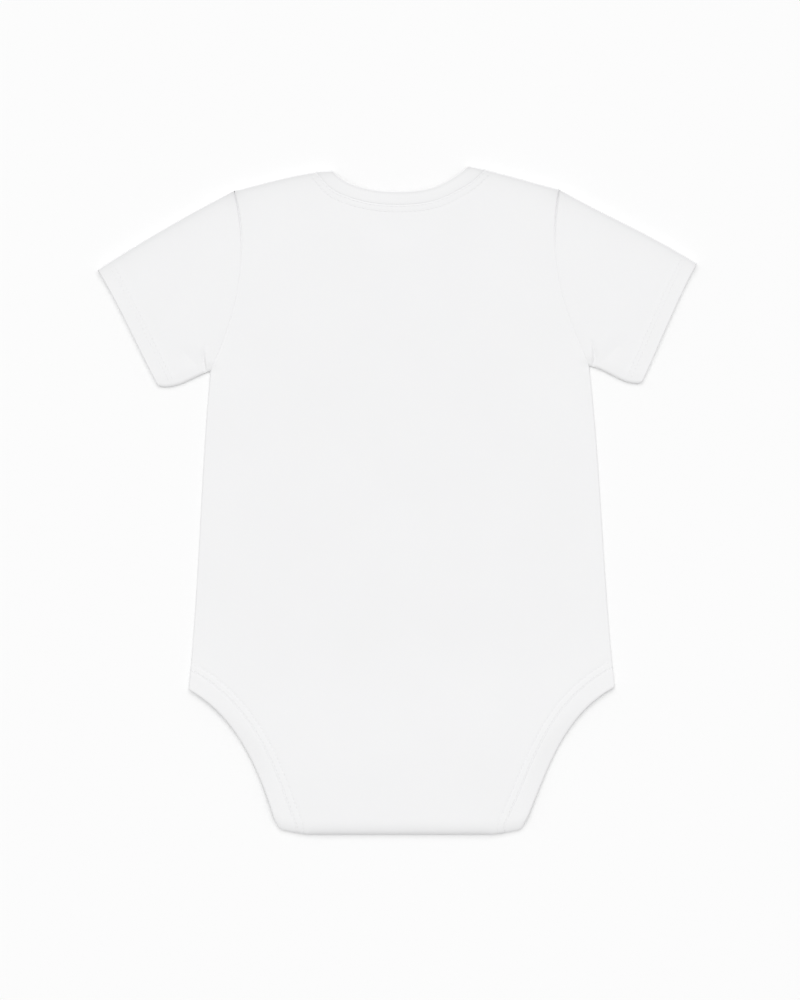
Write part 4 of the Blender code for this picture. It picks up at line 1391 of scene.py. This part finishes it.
def cloth_material(name, colour, wale, course, turn=0.0):
    """Cotton knit: soft, matt and slightly uneven."""
    nodes = Nodes(name)
    place, relief = knit_height(nodes, wale, course, turn)
    fuzz = nodes.noise(place, scale=900.0, detail=3.0)
    nodes.tone(nodes.noise(place, scale=22.0, detail=2.0), colour, spread=0.004)
    nodes.bump(nodes.sum("MULTIPLY_ADD", fuzz, FUZZ_SHARE, relief), strength=0.22, distance=0.08 * MM)
    nodes.gloss(roughness=0.9, sheen=0.12, sheen_roughness=0.5, specular=0.25)
    return nodes.material


def thread_material(name, colour):
    """Polyester sewing thread, twisted from strands."""
    nodes = Nodes(name)
    place = nodes.add("ShaderNodeTexCoord").outputs["Object"]
    twist = nodes.add("ShaderNodeTexWave", wave_type="BANDS", bands_direction="DIAGONAL")
    twist.inputs["Scale"].default_value = 900.0
    nodes.link(place, twist.inputs["Vector"])
    nodes.tone(nodes.noise(place, scale=300.0, detail=2.0), colour, spread=0.006)
    nodes.bump(twist.outputs["Fac"], strength=0.3, distance=0.05 * MM)
    nodes.gloss(roughness=0.6, sheen=0.1, sheen_roughness=0.4, specular=0.35)
    return nodes.material


def snap_material(name, colour):
    """Moulded plastic with a satin face."""
    nodes = Nodes(name)
    place = nodes.add("ShaderNodeTexCoord").outputs["Object"]
    grain = nodes.noise(place, scale=1600.0, detail=2.0)
    nodes.tone(nodes.noise(place, scale=120.0, detail=1.0), colour, spread=0.01)
    nodes.bump(grain, strength=0.12, distance=0.02 * MM)
    nodes.gloss(roughness=0.35, sheen=0.0, sheen_roughness=0.5, specular=0.5)
    return nodes.material


def floor_material(name, colour):
    """A plain pale matt surface."""
    nodes = Nodes(name)
    place = nodes.add("ShaderNodeTexCoord").outputs["Object"]
    nodes.tone(nodes.noise(place, scale=3.0, detail=1.0), colour, spread=0.0015)
    nodes.gloss(roughness=0.95, sheen=0.0, sheen_roughness=0.5, specular=0.1)
    return nodes.material


# ---- What a user may change ----


class BodysuitCloth(bpy.types.PropertyGroup):
    """Sizes and colours of the cloth."""

    jersey: bpy.props.FloatProperty(
        name="Jersey", description="Thickness of the jersey",
        default=0.0005, min=0.0003, max=0.0012, unit="LENGTH",
    )
    wale: bpy.props.FloatProperty(
        name="Wale", description="Width of one column of stitches",
        default=0.0007, min=0.0003, unit="LENGTH",
    )
    course: bpy.props.FloatProperty(
        name="Course", description="Height of one row of stitches",
        default=0.0006, min=0.0003, unit="LENGTH",
    )
    jersey_colour: bpy.props.FloatVectorProperty(
        name="Jersey colour", description="Colour of the jersey",
        default=(0.863, 0.863, 0.868), subtype="COLOR",
    )
    rib_colour: bpy.props.FloatVectorProperty(
        name="Rib colour", description="Colour of the rib bands",
        default=(0.863, 0.863, 0.868), subtype="COLOR",
    )
    thread_colour: bpy.props.FloatVectorProperty(
        name="Thread colour", description="Colour of the sewing thread",
        default=(0.863, 0.863, 0.868), subtype="COLOR",
    )
    snap_colour: bpy.props.FloatVectorProperty(
        name="Snap colour", description="Colour of the press snaps",
        default=(0.86, 0.86, 0.87), subtype="COLOR",
    )


class BodysuitStage(bpy.types.PropertyGroup):
    """The floor, the light and the camera."""

    floor_colour: bpy.props.FloatVectorProperty(
        name="Floor colour", description="Colour of the floor",
        default=(0.93, 0.93, 0.93), subtype="COLOR",
    )
    lamp_strength: bpy.props.FloatProperty(
        name="Lamp strength", description="Strength of the soft lamp",
        default=1.55, min=0.0,
    )
    lamp_size: bpy.props.FloatProperty(
        name="Lamp size", description="How wide the soft lamp looks from the floor",
        default=1.2, subtype="ANGLE",
    )
    sky: bpy.props.FloatProperty(
        name="Sky", description="Strength of the even light from all round",
        default=0.605, min=0.0,
    )
    camera_height: bpy.props.FloatProperty(
        name="Camera height", description="Height of the camera above the cloth",
        default=1.6, min=0.3, unit="LENGTH",
    )


# ---- Operators ----


class BODYSUIT_OT_back_panel(bpy.types.Operator):
    """Lay the back panel, with its flap under the crotch fold"""

    bl_idname = "bodysuit.back_panel"
    bl_label = "Back panel"

    def execute(self, context):
        cloth = context.scene.bodysuit_cloth
        holes = [on_the_flap(place) for place in SNAP_PLACES]
        flat, faces = cut_panel("back neck", "back leg", GRID_STEP, holes)
        gap = from_seams(BACK_SEAMS, flat)
        piece = lay_jersey("back_panel", "Back jersey", back_face(flat), faces, flat, gap, cloth)
        return {"FINISHED"}


class BODYSUIT_OT_front_panel(bpy.types.Operator):
    """Lay the front panel on the floor"""

    bl_idname = "bodysuit.front_panel"
    bl_label = "Front panel"

    def execute(self, context):
        cloth = context.scene.bodysuit_cloth
        flat, faces = cut_panel("front neck", "front leg", FRONT_GRID_STEP, SNAP_PLACES)
        gap = from_seams(FRONT_SEAMS, flat)
        piece = lay_jersey("front_panel", "Front jersey", front_face(flat), faces[:, ::-1], flat, gap, cloth)
        return {"FINISHED"}


class BODYSUIT_OT_sleeves(bpy.types.Operator):
    """Lay both sleeves, folded along their tops, with their hems turned in"""

    bl_idname = "bodysuit.sleeves"
    bl_label = "Sleeves"

    def execute(self, context):
        for side in SIDES:
            self.lay(side, context.scene.bodysuit_cloth)
        return {"FINISHED"}

    def lay(self, side, cloth):
        """Lays one sleeve."""
        face, patch = sleeve_points(side)
        reach = reaches(patch[::-1, patch.shape[1] // 2])[::-1]
        inside = [row for row in range(len(face) - 2, 0, -2) if reach[row] < HEM_DEPTH]
        points = turn_hem(side, face, inside)
        rows, columns, _ = points.shape
        faces = grid_faces(rows, columns)
        if side == "right":
            faces = faces[:, ::-1]
        flat = np.zeros((rows, columns, 2))
        flat[:, :, 0] = reaches(face[len(face) // 2])[None, :]
        flat[:, :, 1] = reaches(points[:, columns // 4])[:, None]
        gap = distance_to([ARMHOLES[side], face[:, 0, :2]], points.reshape(-1, 3)[:, :2])
        piece = lay_jersey("sleeve_" + side, "Sleeve jersey " + side, points, faces, flat, gap, cloth)


class BODYSUIT_OT_neck_band(bpy.types.Operator):
    """Sew the rib ring round the neck"""

    bl_idname = "bodysuit.neck_band"
    bl_label = "Neck band"

    def execute(self, context):
        cloth = context.scene.bodysuit_cloth
        piece, length = sew_rib("neck_band", "Neck rib", *neck_ring(), True, RIBS["neck"], cloth)
        return {"FINISHED"}


class BODYSUIT_OT_leg_bands(bpy.types.Operator):
    """Sew the rib strips round both legs"""

    bl_idname = "bodysuit.leg_bands"
    bl_label = "Leg bands"

    def execute(self, context):
        cloth = context.scene.bodysuit_cloth
        for side in SIDES:
            rows, out = leg_strip(side)
            names = ("leg_band_" + side, "Leg rib " + side)
            piece, length = sew_rib(*names, rows, out, False, RIBS["leg"], cloth)
        return {"FINISHED"}


class BODYSUIT_OT_stitching(bpy.types.Operator):
    """Sew the rows of stitches beside the bands and along the hems"""

    bl_idname = "bodysuit.stitching"
    bl_label = "Stitching"

    def execute(self, context):
        thread = thread_material("Thread", context.scene.bodysuit_cloth.thread_colour)
        rows = []
        for name, lay in (("back neck", self.on_the_back), ("front neck", self.on_the_front)):
            for distance in STITCH_ROWS:
                left = self.beside_band("left", neck_lines("left", name), distance, "shoulder")
                right = self.beside_band("right", neck_lines("right", name), distance, "shoulder")
                rows.append(lay(np.concatenate((left[::-1], right[1:]))))
        stitching("neck_stitching", rows, thread, "rib")
        for side in SIDES:
            rows = []
            for distance in STITCH_ROWS:
                rows.append(self.on_the_back(self.beside_band(side, whole_back_leg(side), distance, "side")))
                front = leg_lines(side, "front leg")
                rows.append(self.on_the_front(self.beside_band(side, front, distance, "side")))
            stitching(f"leg_stitching_{side}", rows, thread, "rib")
            stitching(f"hem_stitching_{side}", self.hem(side), thread, "jersey", HEM_STITCHES_SUNK)
        return {"FINISHED"}

    def beside_band(self, side, lines, distance, closed):
        """A line in the cloth beside a band's seam, clear of a closed edge."""
        free, seam = lines
        line = to_table(side, seam + unit_rows(seam - free) * distance)
        return line[distance_to(CLOSED[closed], line) > STITCHES_END]

    def on_the_back(self, line):
        """A row of stitches on the back panel."""
        line = spaced(line, STITCH_PATH_STEP)
        points, out = round_the_crotch(line, top_face)
        relief = band_seam_relief(BACK_SEAMS, line)
        return points + out * relief[:, None], out

    def on_the_front(self, line):
        """A row of stitches on the front panel, which faces the floor."""
        line = spaced(line, STITCH_PATH_STEP)
        return front_face(line), np.tile((0.0, 0.0, -1.0), (len(line), 1))

    def hem(self, side):
        """The stitch rows of a sleeve's hem, on its upper and its lower face."""
        rows = []
        edges = [CLOSED[name][SIDES.index(side)] for name in ("sleeve top", "sleeve under")]
        for distance in HEM_ROWS:
            line = spaced(to_table(side, inset(edge(side, "cuff"), distance)), STITCH_PATH_STEP)
            line = line[distance_to(edges, line) > STITCHES_END]
            for height, way in ((top_face(line) + hem_lift(side, line), 1.0), (bottom_face(line), -1.0)):
                rows.append((np.column_stack((line, height)), np.tile((0.0, 0.0, way), (len(line), 1))))
        return rows


class BODYSUIT_OT_snaps(bpy.types.Operator):
    """Press on the three snaps at the crotch"""

    bl_idname = "bodysuit.snaps"
    bl_label = "Snaps"

    def execute(self, context):
        material = snap_material("Snap plastic", context.scene.bodysuit_cloth.snap_colour)
        faces = tube_faces(len(SNAP_PROFILE), SNAP_SIDES)
        heights = np.repeat([height * MM + SNAP_OFF_FLOOR for _, height in SNAP_PROFILE], SNAP_SIDES)
        for name, place in zip(SNAPS, SNAP_PLACES):
            rings = [ring(place, radius * MM, SNAP_SIDES) for radius, _ in SNAP_PROFILE]
            points = np.column_stack((np.concatenate(rings), heights))
            mesh = closed_mesh("press_snap_" + name, points, faces, points[:, :2])
            add_piece(mesh.name, mesh, material, "snap", "snap_" + name)
        return {"FINISHED"}


class BODYSUIT_OT_stage(bpy.types.Operator):
    """Set the floor, the soft light and the camera that looks straight down"""

    bl_idname = "bodysuit.stage"
    bl_label = "Stage"

    def execute(self, context):
        scene = context.scene
        self.floor(scene)
        self.light(scene, scene.bodysuit_stage)
        self.camera(scene, scene.bodysuit_stage)
        return {"FINISHED"}

    def add(self, scene, name, data):
        """An object of the stage."""
        item = bpy.data.objects.new(name, data)
        scene.collection.objects.link(item)
        return item

    def floor(self, scene):
        """A plain pale floor."""
        corners = [(x * FLOOR_HALF, y * FLOOR_HALF, 0.0) for x, y in ((-1, -1), (1, -1), (1, 1), (-1, 1))]
        mesh = bpy.data.meshes.new("floor")
        mesh.from_pydata(corners, [], [(0, 1, 2, 3)])
        mesh.materials.append(floor_material("Floor", scene.bodysuit_stage.floor_colour))
        self.add(scene, "floor", mesh)

    def light(self, scene, stage):
        """A wide lamp above, a little towards the neck, and even light from all round."""
        data = bpy.data.lights.new("Soft lamp", "SUN")
        data.angle = stage.lamp_size
        data.energy = stage.lamp_strength
        lamp = self.add(scene, "Soft lamp", data)
        lamp.location = LAMP_PLACE
        lamp.rotation_mode = "QUATERNION"
        lamp.rotation_quaternion = (-Vector(LAMP_PLACE)).to_track_quat("-Z", "Y")
        world = bpy.data.worlds.new("Sky")
        world.use_nodes = True
        background = world.node_tree.nodes["Background"]
        background.inputs["Color"].default_value = (1.0, 1.0, 1.0, 1.0)
        background.inputs["Strength"].default_value = stage.sky
        scene.world = world
        scene.view_settings.view_transform = "Standard"

    def camera(self, scene, stage):
        """A camera straight above the garment."""
        view = bpy.data.cameras.new("Camera")
        view.sensor_width = SENSOR_WIDTH
        view.sensor_fit = "AUTO"
        view.lens = SENSOR_WIDTH * stage.camera_height / (PICTURE_HEIGHT * METRES_A_PIXEL)
        view.clip_start, view.clip_end = CAMERA_SEES
        camera = self.add(scene, "Camera", view)
        x = (PICTURE_WIDTH / 2 - CENTRE_LINE_PIXEL) * METRES_A_PIXEL
        camera.location = (x, 0.0, stage.camera_height + CLOTH_TOP)
        scene.camera = camera


# ---- Panel and registration ----


OPERATORS = (
    BODYSUIT_OT_back_panel,
    BODYSUIT_OT_front_panel,
    BODYSUIT_OT_sleeves,
    BODYSUIT_OT_neck_band,
    BODYSUIT_OT_leg_bands,
    BODYSUIT_OT_stitching,
    BODYSUIT_OT_snaps,
    BODYSUIT_OT_stage,
)


class BODYSUIT_PT_panel(bpy.types.Panel):
    """The bodysuit's pieces and sizes"""

    bl_idname = "BODYSUIT_PT_panel"
    bl_label = "Bodysuit"
    bl_space_type = "VIEW_3D"
    bl_region_type = "UI"
    bl_category = "Bodysuit"

    def draw(self, context):
        for group in (context.scene.bodysuit_cloth, context.scene.bodysuit_stage):
            box = self.layout.box()
            for name in group.bl_rna.properties.keys():
                if name not in ("rna_type", "name"):
                    box.prop(group, name)
        for operator in OPERATORS:
            self.layout.operator(operator.bl_idname)


CLASSES = (BodysuitCloth, BodysuitStage, *OPERATORS, BODYSUIT_PT_panel)


def register():
    """Makes the classes and the settings known."""
    for item in CLASSES:
        bpy.utils.register_class(item)
    bpy.types.Scene.bodysuit_cloth = bpy.props.PointerProperty(type=BodysuitCloth)
    bpy.types.Scene.bodysuit_stage = bpy.props.PointerProperty(type=BodysuitStage)


def unregister():
    """Takes the classes and the settings away."""
    del bpy.types.Scene.bodysuit_stage
    del bpy.types.Scene.bodysuit_cloth
    for item in reversed(CLASSES):
        bpy.utils.unregister_class(item)


def main():
    """Makes every piece and the stage."""
    register()
    for operator in OPERATORS:
        group, name = operator.bl_idname.split(".")
        getattr(getattr(bpy.ops, group), name)()


if __name__ == "__main__":
    main()
